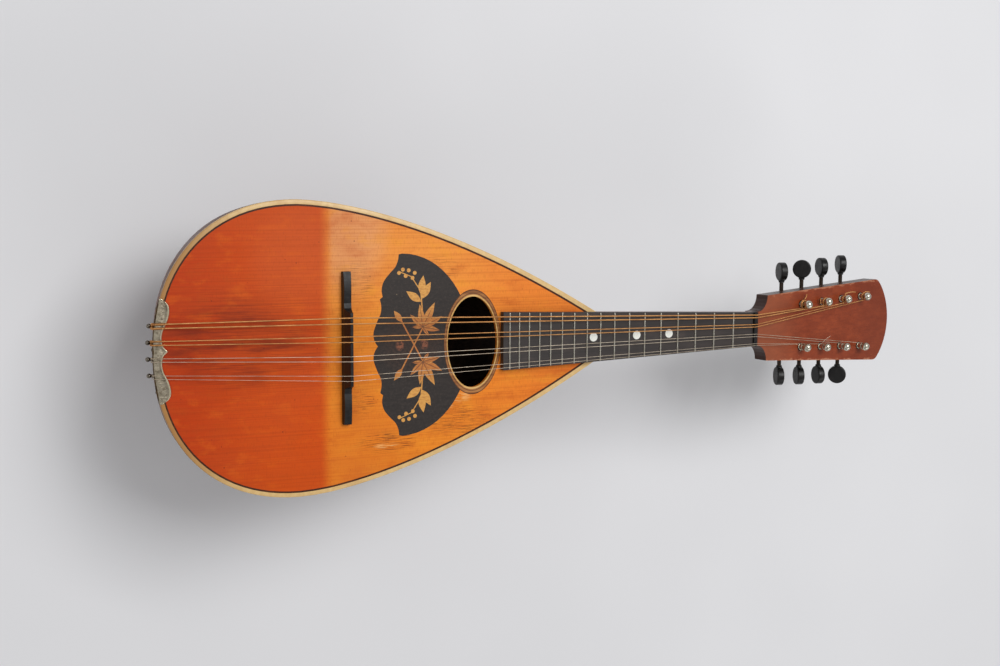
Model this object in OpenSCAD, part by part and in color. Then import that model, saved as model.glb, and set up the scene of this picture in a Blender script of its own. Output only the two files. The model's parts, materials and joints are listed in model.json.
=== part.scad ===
// Bowl-back mandolin: a staved bowl, a flat top canted behind the bridge,
// eight strings in four courses and eight worm-and-cog machine heads.
// The working frame has its origin on the bridge line at the top's surface,
// +X toward the head, +Y toward the low strings and +Z out of the top.
// in_place() moves that frame so that the origin is under the box's middle.

/* [Body] */
// Half of the body's greatest width
body_half_w = 100; // [96:1:104]
// Depth of the bowl below the top
body_depth = 140; // [130:1:150]
// Position of the widest section, from the bridge line
widest_x = -27; // [-30:1:-24]
// Length from the widest section back to the tail
rear_len = 95; // [92:1:98]
// Length over which the front of the body would taper to nothing
front_len = 252; // [250:1:254]
// Position of the body's end at the neck heel
heel_x = 196; // [192:1:198]
// Thickness of the soundboard
top_t = 2.8; // [2.2:0.1:3.2]
// Thickness of a bowl rib
rib_t = 1.8; // [1.4:0.1:2.2]
// Position of the bend across the top
cant_x = -6; // [-9:0.5:-4]
// Fall of the top behind the bend, in degrees
cant_deg = 3.4; // [2.5:0.1:4.5]
// Width of the edge binding
binding_w = 4; // [3:0.1:5]
// Width of the dark line inside the binding
purfling_w = 1; // [0.6:0.1:1.4]

/* [Sound hole] */
// Centre of the sound hole
hole_x = 97.3; // [96:0.1:98]
// Half length of the hole, along the strings
hole_a = 18.9; // [18:0.1:20]
// Half width of the hole, across the strings
hole_b = 32; // [31:0.1:33]
// Width of the rosette ring at the hole's ends
ring_w = 2.8; // [2:0.1:3]
// Extra width of the rosette ring at the hole's sides
ring_swell = 2.1; // [1:0.1:2.4]

/* [Neck and fretboard] */
// Scale length, from the nut to the bridge line
scale_len = 330; // [328:1:332]
// Number of frets
fret_count = 17; // [12:1:17]
// Half width of the fretboard at the nut
nut_half = 13.2; // [12.6:0.1:13.6]
// Widening of the half width for each millimetre from the nut
board_taper = 0.0349; // [0.03:0.001:0.038]
// Thickness of the fretboard
board_t = 5; // [4:0.1:5.4]
// Position of the fretboard's end at the sound hole
board_end_x = 118.8; // [118:0.1:122]
// Depth of the neck below the top's plane
neck_depth = 15.5; // [14:0.5:17]

/* [Bridge and strings] */
// Length of the bridge, across the strings
bridge_len = 103; // [98:1:106]
// Height of the bridge's crown
bridge_h = 12.4; // [11.8:0.1:13]
// Centre of the bridge's base, from the bridge line
bridge_x = 4.7; // [4:0.1:5]
// Diameters of the four courses, low to high
string_d = [0.9, 0.66, 0.36, 0.28];

/* [Head] */
// Backward tilt of the head, in degrees
head_tilt = 10; // [8:0.5:12]
// Thickness of the head
head_t = 12; // [11.5:0.1:12.4]
// Length of the head along its centre line
head_len = 153.7; // [150:0.1:156]
// Half width of the head above its shoulders
shoulder_half = 25.5; // [25:0.1:27]
// Half width of the head at its end corners
tip_half = 33.7; // [32:0.1:35]

/* [Machine heads] */
// Distance from one string post to the next
post_pitch = 23; // [22.5:0.1:23.5]
// Distance of the first post from the nut end of the head
first_post = 50; // [48:0.5:50]
// Distance of the first post from the centre line
post_y = 17; // [16.8:0.1:17.4]
// Outward step of each further post
post_step = 1.15; // [1:0.05:1.2]
// Diameter of a tuning button
button_d = 14.6; // [13:0.1:16]

/* [Hidden] */
// Posts on each side of the head, and the rib pairs beside the middle rib
SIDE_POSTS = 4;
RIB_PAIRS = 7;
$fn = 48;
// Gap between glued pieces, and a length beyond everything
GLUE = 0.02;
BIG = 300;

// The body's plan and bowl: rear and front are superellipse quarters
REAR_POWER = 2.2;
FRONT_POWER = 1.6;
// The stern curves under faster than the plan narrows
STERN_POWER = 1.7;
RIB_COUNT = 2 * RIB_PAIRS + 1;
RIB_DEG = 180 / RIB_COUNT;
// Half of the seam between two ribs
SEAM_HALF = 0.08;
TAIL_X = widest_x - rear_len;
CLASP_X = -118;
// Lengths of the two end blocks, in stations of the bowl
TAIL_BLOCK_STEPS = 7;
NECK_BLOCK_STEPS = 2;
BLOCK_GAP = 0.15;
LINING_H = 8;
LINING_W = 5;
BRACE_PLACES = [-45, 62, 131];
BRACE_H = 12;
BRACE_W = 7;
BRACE_SCOOP = 14;
HEEL_RUN = 9;

// Inlays let into the top: the rosette, the pickguard and its marquetry
RING_DEPTH = 1;
GUARD_T = 0.8;
INLAY_T = 0.4;
GUARD_HALF = 62.7;
GUARD_REACH = 50.7;
GUARD_MID = [45, 0];
// The two waves of the side toward the bridge, from the centre line outward
GUARD_WAVES = [
    [[27.4, 0], [24.9, 4.2], [24.4, 9.5], [26.8, 16.5], [29.4, 22], [30, 27], [29, 32]],
    [[31, 33.6], [30.3, 38.5], [31.8, 44], [36, 49.3], [40, 53.5], [42, 58], [42.6, 62.2]]
];
BERRIES = [[42.8, 49.6], [45.6, 51.8], [47.6, 47.4], [49.8, 51.2], [52.6, 46], [54.2, 49.4]];
BERRY_R = 1.35;
// Directions and lengths of a large leaf's lobes
LOBES = [[0, 1], [36, 0.84], [-36, 0.84], [74, 0.68], [-74, 0.68], [116, 0.42], [-116, 0.42]];
SLIM_HALF = 0.2;
LOBE_HALF = 0.145;

// Frets and position dots
FRET_W = 1.1;
FRET_H = 0.9;
DOT_FRETS = [5, 7, 10];
DOT_R = 3.2;
DOT_T = 0.6;

// The head's own frame: u along the head, y across it, w out of its face
HEAD_X = scale_len + 4;
HEAD_Z = 3;
SHOULDER_U = [2, 12];
CORNER_U = 140;
CORNER_SOFT = 3.4;

// Tuner works behind the head
PLATE_T = 1;
SHAFT_DEPTH = 16;
SHAFT_OFFSET = 6.5;
SHAFT_R = 1.6;
SHAFT_BORE_R = 1.65;
THREAD_R = 2.5;
THREAD_ROOT_R = 1.5;
COG_TEETH = 12;
COG_T = 2.4;
COG_TIP_R = 4.65;
COG_ROOT_R = 3.75;
COG_PITCH_R = 4.3;
// Half angles of a cog tooth at its root and at its tip
TOOTH_ROOT = 7;
TOOTH_TIP = 3.4;
WORM_LEAD = 2 * PI * COG_PITCH_R / COG_TEETH;
THREAD_TURNS = 2.5;
POST_R = 2.65;
POST_BORE_R = 2.72;
POST_HOLE_R = 3.1;
WAIST_R = 2.2;
CAP_R = 2.9;
WAIST_TOP = 6.3;
CAP_RIM = 1;
EAR_NEAR = 4.6;
EAR_T = 1.4;
EAR_HALF = 2.4;
PLATE_ENDS = [36, 127.5];
PLATE_IN = 6.6;
PLATE_OUT = 7.6;
SCREW_U = [38.5, 61, 124.9];
SCREW_OUT = [0, 6, 0];
SCREW_R = 0.9;
SCREW_LEN = 6;
BUTTON_T = 5.6;
// Angles at which the buttons happen to stand, in degrees
BUTTON_REST = [70, 0, 62, 72, 72, 68, 56, 0];
// Distance of each button's centre from the centre line
BUTTON_Y = [42, 43.4, 44.5, 46];

// Tail fittings
METAL_T = 0.8;
// The tailpiece sits a little toward the low strings
TAIL_SHIFT = 2.5;
TAIL_HALF = 33.5;
// Its front edge beside the pointed middle, and the lower edge of its skirt
TAIL_FRONT = [
    [-115.1, 4.5], [-115.4, 9], [-114.3, 14], [-111.6, 19.5],
    [-110.2, 25.5], [-111, 30], [-114, 32.8], [-118, 33.5]
];
TAIL_POINT = [-111.6, 0];
SKIRT = [[33.5, -11], [30, -14.5], [24, -16.5], [17, -15.5], [10, -16.5], [4, -19.5], [0, -20.5]];
HOOK_Z = -12.5;
HOOK_PITCH = 10.7;
HOOK_R = 0.9;
HOOK_LEN = 2.6;
KNOB_R = 1.35;
NAIL_PLACES = [[27, -12.5], [-27, -12.5], [0, -17.5]];
NAIL_R = 0.6;

// Strings, low to high: height and place at the bridge, nut and tail
BRIDGE_Y = [21.4, 17.5, 8.9, 5.2, -4.4, -7.8, -17.4, -20.9];
NUT_Y = [11.2, 9.1, 3.9, 2.0, -3.5, -5.4, -10.9, -12.4];
TAIL_Y = [20.1, 17.5, 9.2, 6.8, -1.8, -3.9, -12.7, -14.9];
// The post that each string winds on, and the height where its winding starts
STRING_POST = [1, 2, 3, 4, 8, 7, 6, 5];
WIND_TOP = [3.7, 5.6, 5.2, 5.2];
CROWN_X = 5.5;
STRING_Z_BRIDGE = bridge_h + 0.2;
STRING_Z_NUT = board_t + 1.75;
NUT_X = scale_len + 2;
WIND_TURNS = 2.25;
WIND_GAP = 0.15;
LOOP_GAP = 0.2;
WIND_END = 4;

// Extremes of the whole instrument along X
MIN_X = tail_edge_x(hook_y(2)) - METAL_T - 0.1 - GLUE - HOOK_LEN - 1.8 * KNOB_R;
MAX_X = HEAD_X + head_len * cos(head_tilt);

// ---- functions ----

function top_z(x) = x < cant_x ? (x - cant_x) * tan(cant_deg) : 0;

// Share of the full width and depth at a place along the body, for a shell inset by t
function taper(x, t = 0) =
    x < widest_x
    ? pow(max(0, 1 - pow((widest_x - x) / (rear_len - t), REAR_POWER)), 1 / REAR_POWER)
    : 1 - pow((x - widest_x) / (front_len - t), FRONT_POWER);

function rim_z(x) = top_z(x) - top_t;

// Depth of the bowl below its rim, for a shell inset by t
function bowl_drop(x, t = 0) =
    x < widest_x
    ? (body_depth - t + rim_z(x)) * pow(taper(x, t), STERN_POWER)
    : (body_depth - t) * taper(x, t) + rim_z(x);

// A point of the bowl: angle 0 is the +Y rim, 90 the bottom, 180 the -Y rim
function bowl_pt(x, angle, t = 0) =
    [x, (body_half_w - t) * taper(x, t) * cos(angle), rim_z(x) - bowl_drop(x, t) * sin(angle)];

// Stations along the bowl, close together where the outline turns quickly
function bowl_stations(from, to) = concat(
    [from],
    [for (a = [70, 68, each [66:-6:6]]) let (x = widest_x - rear_len * pow(sin(a), 2 / REAR_POWER))
        if (x > from + 0.8 && x < to - 1) x],
    [for (k = [0:9]) let (x = widest_x + (heel_x - widest_x) * k / 10)
        if (x > from + 0.8 && x < to - 1) x],
    [to]
);

// The plan outline on the +Y side: s runs from 0 at the tail to 2 at the heel
function edge(s) =
    s < 1
    ? [widest_x - rear_len * pow(cos(90 * abs(s)), 2 / REAR_POWER),
       sign(s) * body_half_w * pow(abs(sin(90 * s)), 2 / REAR_POWER)]
    : let (x = widest_x + (heel_x - widest_x) * (s - 1)) [x, body_half_w * taper(x)];

// The same outline moved inward by w
function inset_edge(s, w) =
    let (step = edge(s + 0.01) - edge(s - 0.01), along = step / norm(step))
    edge(s) + w * [along.y, -along.x];

function outline(w) =
    let (side = [for (k = [0:48]) inset_edge(k / 24, w)])
    concat(
        [for (p = side) [max(p.x, TAIL_X - 2), max(p.y, 0)]],
        [for (k = [48:-1:1]) [side[k].x, -side[k].y]]
    );

function ellipse(a, b, count = 72) =
    [for (k = [0:count - 1]) let (turn = 360 * k / count) [a * cos(turn), b * sin(turn)]];

function board_half(x) = nut_half + board_taper * (scale_len - x);

function fret_x(n) = scale_len * pow(2, -n / 12);

function post_at(k) =
    let (row = (k - 1) % SIDE_POSTS)
    [first_post + post_pitch * row, (k > SIDE_POSTS ? -1 : 1) * (post_y + post_step * row)];

// From the head's frame to the working frame
function from_head(p) = [
    HEAD_X + p.x * cos(head_tilt) + p.z * sin(head_tilt),
    p.y,
    HEAD_Z - p.x * sin(head_tilt) + p.z * cos(head_tilt)
];

function to_head(p) =
    let (d = p - [HEAD_X, 0, HEAD_Z])
    [d.x * cos(head_tilt) - d.z * sin(head_tilt), d.y, d.x * sin(head_tilt) + d.z * cos(head_tilt)];

// Replaces corner b of the corners a, b, c by an arc that starts and ends r from b
function soft_corner(a, b, c, r, count = 4) =
    let (p = b + r * (a - b) / norm(a - b), q = b + r * (c - b) / norm(c - b))
    [for (k = [0:count]) let (m = k / count) (1 - m) * (1 - m) * p + 2 * m * (1 - m) * b + m * m * q];

// A smooth curve through points
function curve(points, steps = 4) =
    let (last = len(points) - 1)
    concat(
        [for (k = [0:last - 1], j = [0:steps - 1])
            let (
                a = points[max(k - 1, 0)],
                b = points[k],
                c = points[k + 1],
                d = points[min(k + 2, last)],
                t = j / steps
            )
            (2 * b + t * (c - a) + t * t * (2 * a - 5 * b + 4 * c - d)
             + t * t * t * (3 * b - a - 3 * c + d)) / 2],
        [points[last]]
    );

// Points on the +Y side followed by their mirror images, as one outline
function both_sides(side) =
    concat(side, [for (k = [len(side) - 1:-1:0]) if (side[k].y > 0) [side[k].x, -side[k].y]]);

// ---- string routes ----

function string_r(i) = string_d[floor(i / 2)] / 2;

function nut_point(i) = [NUT_X, NUT_Y[i], STRING_Z_NUT];

function bridge_point(i) = [CROWN_X, BRIDGE_Y[i], STRING_Z_BRIDGE];

function hook_y(course) = TAIL_SHIFT + HOOK_PITCH * (1.5 - course);

function tail_edge_x(y) =
    widest_x - rear_len * pow(1 - pow(abs(y) / body_half_w, REAR_POWER), 1 / REAR_POWER);

// The winding on a post, in the head's frame, from where the string meets it
function winding(i) =
    let (
        post = post_at(STRING_POST[i]),
        side = sign(post.y),
        start = to_head(nut_point(i)),
        gap = post - [start.x, start.y],
        reach = WAIST_R + string_r(i) + WIND_GAP,
        heading = atan2(gap.y, gap.x) - side * asin(reach / norm(gap)),
        first = heading - side * 90,
        row = (STRING_POST[i] - 1) % SIDE_POSTS,
        pitch = 2.15 * string_r(i)
    )
    concat(
        [for (a = [0:30:360 * WIND_TURNS])
            let (turn = first + side * a)
            [post.x + reach * cos(turn), post.y + reach * sin(turn), WIND_TOP[row] - pitch * a / 360]],
        [let (turn = first + side * 360 * WIND_TURNS, out = side * WIND_END)
            [post.x + reach * cos(turn) - out * sin(turn),
             post.y + reach * sin(turn) + out * cos(turn),
             WIND_TOP[row] - pitch * WIND_TURNS - 0.1]]
    );

function string_route(i) =
    let (
        r = string_r(i),
        hook = hook_y(floor(i / 2)),
        skirt_x = tail_edge_x(hook) - METAL_T - 0.1,
        loop_x = skirt_x - 0.75 - (i % 2) * 1.15,
        loop_r = HOOK_R + r + LOOP_GAP,
        corner = [tail_edge_x(TAIL_Y[i]) - METAL_T - 0.1, TAIL_Y[i], top_z(TAIL_X) + METAL_T]
    )
    concat(
        [for (a = [180:45:360]) [loop_x, hook + loop_r * cos(a), HOOK_Z + loop_r * sin(a)]],
        [[corner.x - r - 0.35, corner.y, corner.z - 1.6]],
        [[corner.x - r * 0.3 - 0.1, corner.y, corner.z + r + 0.25]],
        [bridge_point(i), nut_point(i)],
        [for (p = winding(i)) from_head(p)]
    );

// ---- solids from rings of points ----

// A closed solid through rings that have the same number of points, each
// ring turning counterclockwise as seen looking along the path
module loft(rings) {
    m = len(rings[0]);
    n = len(rings);
    polyhedron(
        points = [for (ring = rings, p = ring) p],
        faces = concat(
            [[for (k = [m - 1:-1:0]) k]],
            [[for (k = [0:m - 1]) (n - 1) * m + k]],
            [for (j = [0:n - 2], k = [0:m - 1]) [j * m + k, (j + 1) * m + (k + 1) % m, (j + 1) * m + k]],
            [for (j = [0:n - 2], k = [0:m - 1]) [j * m + k, j * m + (k + 1) % m, (j + 1) * m + (k + 1) % m]]
        )
    );
}

function unit(v) = v / norm(v);

function turned(side, along) = unit(side - (side * along) * along);

// A round tube along a route; each ring's directions follow from the last one's
module tube(route, r, sides) {
    last = len(route) - 1;
    along = [for (k = [0:last])
        unit(k == 0 ? route[1] - route[0]
            : k == last ? route[last] - route[last - 1]
            : unit(route[k + 1] - route[k]) + unit(route[k] - route[k - 1]))];
    across = [for (k = 0, v = turned([1, 0.1, 0], along[0]); k <= last;
        k = k + 1, v = k <= last ? turned(v, along[k]) : v) v];
    loft([for (k = [0:last])
        let (up = cross(along[k], across[k]))
        [for (j = [0:sides - 1])
            route[k] + r * (cos(-360 * j / sides) * across[k] + sin(-360 * j / sides) * up)]]);
}

// A straight round rod between two points
module rod(a, b, r) {
    d = b - a;
    translate(a)
        rotate([0, acos(d.z / norm(d)), atan2(d.y, d.x)])
            cylinder(h = norm(d), r = r);
}

// ---- frames ----

module in_place() {
    translate([-(MIN_X + MAX_X) / 2, 0, body_depth]) children();
}

module on_head() {
    translate([HEAD_X, 0, HEAD_Z]) rotate([0, head_tilt, 0]) children();
}

module at_post(k) {
    p = post_at(k);
    on_head() translate([p.x, p.y, 0]) children();
}

// ---- body ----

// The space between two levels that follow the canted top, measured down from it
module top_layer(from, to) {
    x0 = TAIL_X - 20;
    rotate([90, 0, 0])
        linear_extrude(height = BIG, center = true)
            polygon([
                [x0, top_z(x0) - from], [x0, top_z(x0) - to], [cant_x, -to],
                [BIG, -to], [BIG, -from], [cant_x, -from]
            ]);
}

// An upright block with a given plan, cut to a layer of the top
module top_piece(points, from, to) {
    intersection() {
        top_layer(from, to);
        translate([0, 0, -50]) linear_extrude(height = 100) polygon(points);
    }
}

module hole_plan(a, b, z, h) {
    translate([hole_x, 0, z]) linear_extrude(height = h) polygon(ellipse(a, b));
}

module soundboard() color("darkorange") in_place()
    difference() {
        top_piece(outline(binding_w + purfling_w), 0, top_t);
        hole_plan(hole_a, hole_b, -10, 20);
        hole_plan(hole_a + ring_w, hole_b + ring_w + ring_swell, -RING_DEPTH, 10);
        translate([0, 0, -GUARD_T]) guard_block(10);
    }

module edge_strip(outer, inner) {
    difference() {
        top_piece(outline(outer), 0, top_t);
        translate([0, 0, -60]) linear_extrude(height = 120) polygon(outline(inner));
    }
}

module binding() color("wheat") in_place() edge_strip(0, binding_w);

module purfling() color("black") in_place() edge_strip(binding_w, binding_w + purfling_w);

module rosette() color("saddlebrown") in_place()
    difference() {
        hole_plan(hole_a + ring_w, hole_b + ring_w + ring_swell, -RING_DEPTH, RING_DEPTH);
        hole_plan(hole_a, hole_b, -RING_DEPTH - 1, RING_DEPTH + 2);
    }

// ---- inlaid pickguard ----

function guard_side() = concat(
    curve(GUARD_WAVES[0]),
    curve(GUARD_WAVES[1]),
    [for (a = [0:6:66]) GUARD_MID + [GUARD_REACH * sin(a), GUARD_HALF * cos(a)]]
);

module guard_block(h) {
    difference() {
        linear_extrude(height = h) polygon(both_sides(guard_side()));
        hole_plan(hole_a + ring_w, hole_b + ring_w + ring_swell, -1, h + 2);
    }
}

// A pointed leaf of length 1 along X, broadest near its base
function leaf_outline(half) = concat(
    [for (a = [0:20:180]) [a / 180, half * sin(a) * (1.25 - a / 360)]],
    [for (a = [160:-20:20]) [a / 180, -half * sin(a) * (1.25 - a / 360)]]
);

module leaf(base, tip, half = SLIM_HALF) {
    d = tip - base;
    translate([base.x, base.y, 0])
        rotate([0, 0, atan2(d.y, d.x)])
            linear_extrude(height = INLAY_T)
                polygon(norm(d) * leaf_outline(half));
}

// A leaf of several lobes that spread from one place
module lobed_leaf(base, length, heading) {
    for (lobe = LOBES)
        let (a = heading + lobe[0])
            leaf(base, base + length * lobe[1] * [cos(a), sin(a)], LOBE_HALF);
}

module stem(a, b, w) {
    d = b - a;
    translate([a.x, a.y, 0])
        rotate([0, 0, atan2(d.y, d.x)])
            translate([0, -w / 2, 0])
                cube([norm(d), w, INLAY_T]);
}

// One half of the spray of leaves and berries
module spray() {
    lobed_leaf([60, 12], 19, 62);
    leaf([59.3, 31.5], [66, 43]);
    leaf([58.8, 29.5], [48, 37]);
    leaf([58.6, 34.5], [60.5, 47.5]);
    stem([43, -19.5], [60, 11.5], 1);
    stem([60, 20], [58.6, 37], 0.9);
    stem([58.7, 36.6], [51.5, 47.2], 0.7);
    stem([51.8, 46.9], [43.5, 50.2], 0.6);
    for (p = BERRIES) translate([p.x, p.y, 0]) cylinder(h = INLAY_T, r = BERRY_R);
    leaf([45, -16], [39, -24]);
}

module inlay_shape() {
    translate([0, 0, -INLAY_T]) {
        spray();
        mirror([0, 1, 0]) spray();
    }
}

module pickguard() color("darkslategray") in_place()
    difference() {
        translate([0, 0, -GUARD_T]) guard_block(GUARD_T);
        inlay_shape();
    }

module pickguard_inlay() color("goldenrod") in_place() inlay_shape();

// ---- inside the body ----

module brace(x) {
    narrow_x = x + (x > widest_x ? 1 : -1) * BRACE_W / 2;
    half = bowl_pt(narrow_x, 0, rib_t).y - LINING_W - 1;
    translate([x, 0, top_z(x) - top_t])
        rotate([0, x < cant_x ? -cant_deg : 0, 0])
            rotate([90, 0, 90])
                linear_extrude(height = BRACE_W, center = true)
                    polygon([
                        [-half, -GLUE], [half, -GLUE], [half, -BRACE_H / 3],
                        [half - BRACE_SCOOP, -BRACE_H], [BRACE_SCOOP - half, -BRACE_H],
                        [-half, -BRACE_H / 3]
                    ]);
}

module soundboard_braces() color("burlywood") in_place()
    for (x = BRACE_PLACES) brace(x);

function lining_ring(x) =
    let (
        t = rib_t + BLOCK_GAP,
        top = bowl_pt(x, 0, t),
        low = bowl_pt(x, asin(LINING_H / bowl_drop(x, t)), t)
    )
    [[x, low.y, low.z], [x, low.y - LINING_W + 1, low.z],
     [x, top.y - LINING_W, top.z - GLUE], [x, top.y, top.z - GLUE]];

module one_lining()
    loft([for (x = lining_stations()) lining_ring(x)]);

module rim_linings() color("burlywood") in_place() {
    one_lining();
    mirror([0, 1, 0]) one_lining();
}

function half_ring(x, t) = [for (a = [0:RIB_DEG:180]) bowl_pt(x, a, t)];

// The ribs' own stations, so that blocks and linings lie flat against them
function rib_stations() = bowl_stations(CLASP_X, heel_x);

function tail_block_stations() = [for (k = [0:TAIL_BLOCK_STEPS]) rib_stations()[k]];

function neck_block_stations() =
    let (last = len(rib_stations()) - 1)
    [for (k = [last - NECK_BLOCK_STEPS:last]) rib_stations()[k]];

function lining_stations() =
    let (last = len(rib_stations()) - 1)
    [for (k = [TAIL_BLOCK_STEPS:last - NECK_BLOCK_STEPS]) rib_stations()[k]];

module nail_bores() {
    for (p = NAIL_PLACES)
        translate([TAIL_X - 5, TAIL_SHIFT + p[0], p[1]])
            rotate([0, 90, 0])
                cylinder(h = 16, r = NAIL_R + GLUE);
}

module tail_block() color("burlywood") in_place()
    difference() {
        loft([for (x = tail_block_stations()) half_ring(x, rib_t + BLOCK_GAP)]);
        nail_bores();
    }

module neck_block() color("burlywood") in_place()
    loft([for (x = neck_block_stations()) half_ring(x, rib_t + BLOCK_GAP)]);

module end_clasp() color("saddlebrown") in_place()
    difference() {
        loft([for (x = [-121.85, -121.5, -120.7, -119.6, CLASP_X]) half_ring(x, 0)]);
        nail_bores();
    }

// ---- bowl ribs, numbered outward from the middle one ----

function rib_ring(x, start) =
    let (
        seam = SEAM_HALF / (body_half_w * taper(x)) * 180 / PI,
        from = start + seam,
        span = RIB_DEG - 2 * seam
    )
    concat(
        [for (m = [1, 0.5, 0]) bowl_pt(x, from + m * span, rib_t)],
        [for (m = [0, 0.5, 1]) bowl_pt(x, from + m * span, 0)]
    );

module rib(from) {
    difference() {
        loft([for (x = rib_stations()) rib_ring(x, from)]);
        nail_bores();
    }
}

module bowl_rib_middle() color("sienna") in_place() rib(90 - RIB_DEG / 2);

module bowl_ribs_pair(k) color(k % 2 == 0 ? "sienna" : "peru") in_place() {
    from = 90 - RIB_DEG / 2 - k * RIB_DEG;
    rib(from);
    rib(180 - from - RIB_DEG);
}

// ---- neck ----

function neck_ring(x) =
    let (
        half = board_half(x) - 0.05,
        heel = body_depth * taper(heel_x),
        depth = neck_depth + (heel - neck_depth) * exp((heel_x - x) / HEEL_RUN),
        round_side = [for (a = [0:15:180]) [half * cos(a), -top_t - (depth - top_t) * sin(a)]],
        ring = concat([[half, 0]], round_side, [[-half, 0]]),
        at_head = x > scale_len
    )
    [for (p = ring) [at_head ? HEAD_X + (p.y - HEAD_Z) * tan(head_tilt) : x, p.x, p.y]];

module neck() color("saddlebrown") in_place()
    loft([for (x = [heel_x, 200, 205, 211, 219, 230, 250, 290, scale_len + 1]) neck_ring(x)]);

module fretboard() color("dimgray") in_place()
    difference() {
        linear_extrude(height = board_t)
            polygon([
                [board_end_x, board_half(board_end_x)], [board_end_x, -board_half(board_end_x)],
                [scale_len, -nut_half], [scale_len, nut_half]
            ]);
        for (n = DOT_FRETS) translate([dot_x(n), 0, board_t - DOT_T]) cylinder(h = DOT_T + 1, r = DOT_R);
    }

module frets() color("silver") in_place()
    for (n = [1:fret_count])
        let (half = board_half(fret_x(n)) - 0.3)
            translate([fret_x(n), 0, board_t])
                rotate([90, 0, 0])
                    linear_extrude(height = 2 * half, center = true)
                        polygon([
                            [-FRET_W / 2, 0], [FRET_W / 2, 0], [FRET_W / 2, 0.35],
                            [0.25, FRET_H], [-0.25, FRET_H], [-FRET_W / 2, 0.35]
                        ]);

function dot_x(n) = (fret_x(n) + fret_x(n - 1)) / 2;

module position_dots() color("white") in_place()
    for (n = DOT_FRETS) translate([dot_x(n), 0, board_t - DOT_T]) cylinder(h = DOT_T, r = DOT_R - GLUE);

// A straight slot for each string at the nut
module nut_slots() {
    for (i = [0:7]) {
        way = 4 * unit(nut_point(i) - bridge_point(i));
        rod(nut_point(i) - way, nut_point(i) + way, string_r(i) + 0.2);
    }
}

module nut() color("black") in_place()
    difference() {
        rotate([90, 0, 0])
            linear_extrude(height = 2 * nut_half, center = true)
                polygon([
                    [scale_len + GLUE, 0], [scale_len + 3.4, 0], [scale_len + 3.9, HEAD_Z],
                    [scale_len + 3.9, board_t + 0.7], [NUT_X - 0.1, STRING_Z_NUT - 0.1],
                    [scale_len + GLUE, STRING_Z_NUT - 0.1]
                ]);
        nut_slots();
    }

// ---- head ----

function head_side() =
    let (
        rise = head_len - CORNER_U,
        end_r = (tip_half * tip_half + rise * rise) / (2 * rise),
        mid = head_len - end_r,
        arc = asin(tip_half / end_r),
        corner = [CORNER_U, tip_half],
        next = [mid + end_r * cos(arc * 0.8), end_r * sin(arc * 0.8)],
        shoulder = [SHOULDER_U[1], shoulder_half]
    )
    concat(
        [[0, nut_half - 0.1]],
        [for (a = [0:15:90])
            [SHOULDER_U[0] + (SHOULDER_U[1] - SHOULDER_U[0]) * sin(a),
             shoulder_half - (shoulder_half - nut_half) * cos(a)]],
        soft_corner(shoulder, corner, next, CORNER_SOFT),
        [for (m = [0.8:-0.1:0]) [mid + end_r * cos(arc * m), end_r * sin(arc * m)]]
    );

module head() color("brown") in_place()
    difference() {
        side = head_side();
        on_head()
            translate([0, 0, -head_t])
                linear_extrude(height = head_t)
                    polygon(concat(side, [for (k = [len(side) - 2:-1:0]) [side[k].x, -side[k].y]]));
        for (k = [1:2 * SIDE_POSTS])
            at_post(k) translate([0, 0, -head_t - 1]) cylinder(h = head_t + 2, r = POST_HOLE_R);
        each_screw() translate([0, 0, -head_t - 1]) cylinder(h = 1 + SCREW_LEN, r = SCREW_R + GLUE);
    }

// ---- machine heads ----

// Runs its children at each plate screw, on the back of the head
module each_screw() {
    for (side = [1, -1], k = [0:2])
        let (row = (SCREW_U[k] - first_post) / post_pitch)
            on_head()
                translate([SCREW_U[k], side * (post_y + post_step * row + SCREW_OUT[k]), 0])
                    children();
}

module tuner_plate_at_bass() {
    on_head() {
        row0 = post_y + post_step * (PLATE_ENDS[0] - first_post) / post_pitch;
        row1 = post_y + post_step * (PLATE_ENDS[1] - first_post) / post_pitch;
        translate([0, 0, -head_t - PLATE_T])
            linear_extrude(height = PLATE_T)
                polygon([
                    [PLATE_ENDS[0], row0 - PLATE_IN], [PLATE_ENDS[1], row1 - PLATE_IN],
                    [PLATE_ENDS[1], row1 + PLATE_OUT], [PLATE_ENDS[0], row0 + PLATE_OUT]
                ]);
    }
    for (k = [1:SIDE_POSTS], end = [-1, 1])
        at_post(k)
            translate([
                -SHAFT_OFFSET - EAR_HALF, end > 0 ? EAR_NEAR : -EAR_NEAR - EAR_T, -SHAFT_DEPTH - EAR_HALF
            ])
                cube([2 * EAR_HALF, EAR_T, SHAFT_DEPTH + EAR_HALF - head_t - PLATE_T / 2]);
}

module plate_bores() {
    for (k = [1:SIDE_POSTS])
        at_post(k) {
            translate([0, 0, -head_t - PLATE_T - 1]) cylinder(h = PLATE_T + 2, r = POST_BORE_R);
            translate([-SHAFT_OFFSET, -10, -SHAFT_DEPTH])
                rotate([-90, 0, 0])
                    cylinder(h = 20, r = SHAFT_BORE_R);
        }
    each_screw() translate([0, 0, -head_t - PLATE_T - 1]) cylinder(h = PLATE_T + 2, r = SCREW_R + GLUE);
}

module tuner_plate() {
    difference() {
        tuner_plate_at_bass();
        plate_bores();
    }
}

module tuner_plate_bass() color("silver") in_place() tuner_plate();

module tuner_plate_treble() color("silver") in_place() mirror([0, 1, 0]) tuner_plate();

module tuner_screws() color("silver") in_place()
    each_screw() {
        translate([0, 0, -head_t - PLATE_T - 1]) cylinder(h = 1, r = 1.8);
        translate([0, 0, -head_t - PLATE_T - 0.5]) cylinder(h = PLATE_T + SCREW_LEN, r = SCREW_R);
    }

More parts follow.
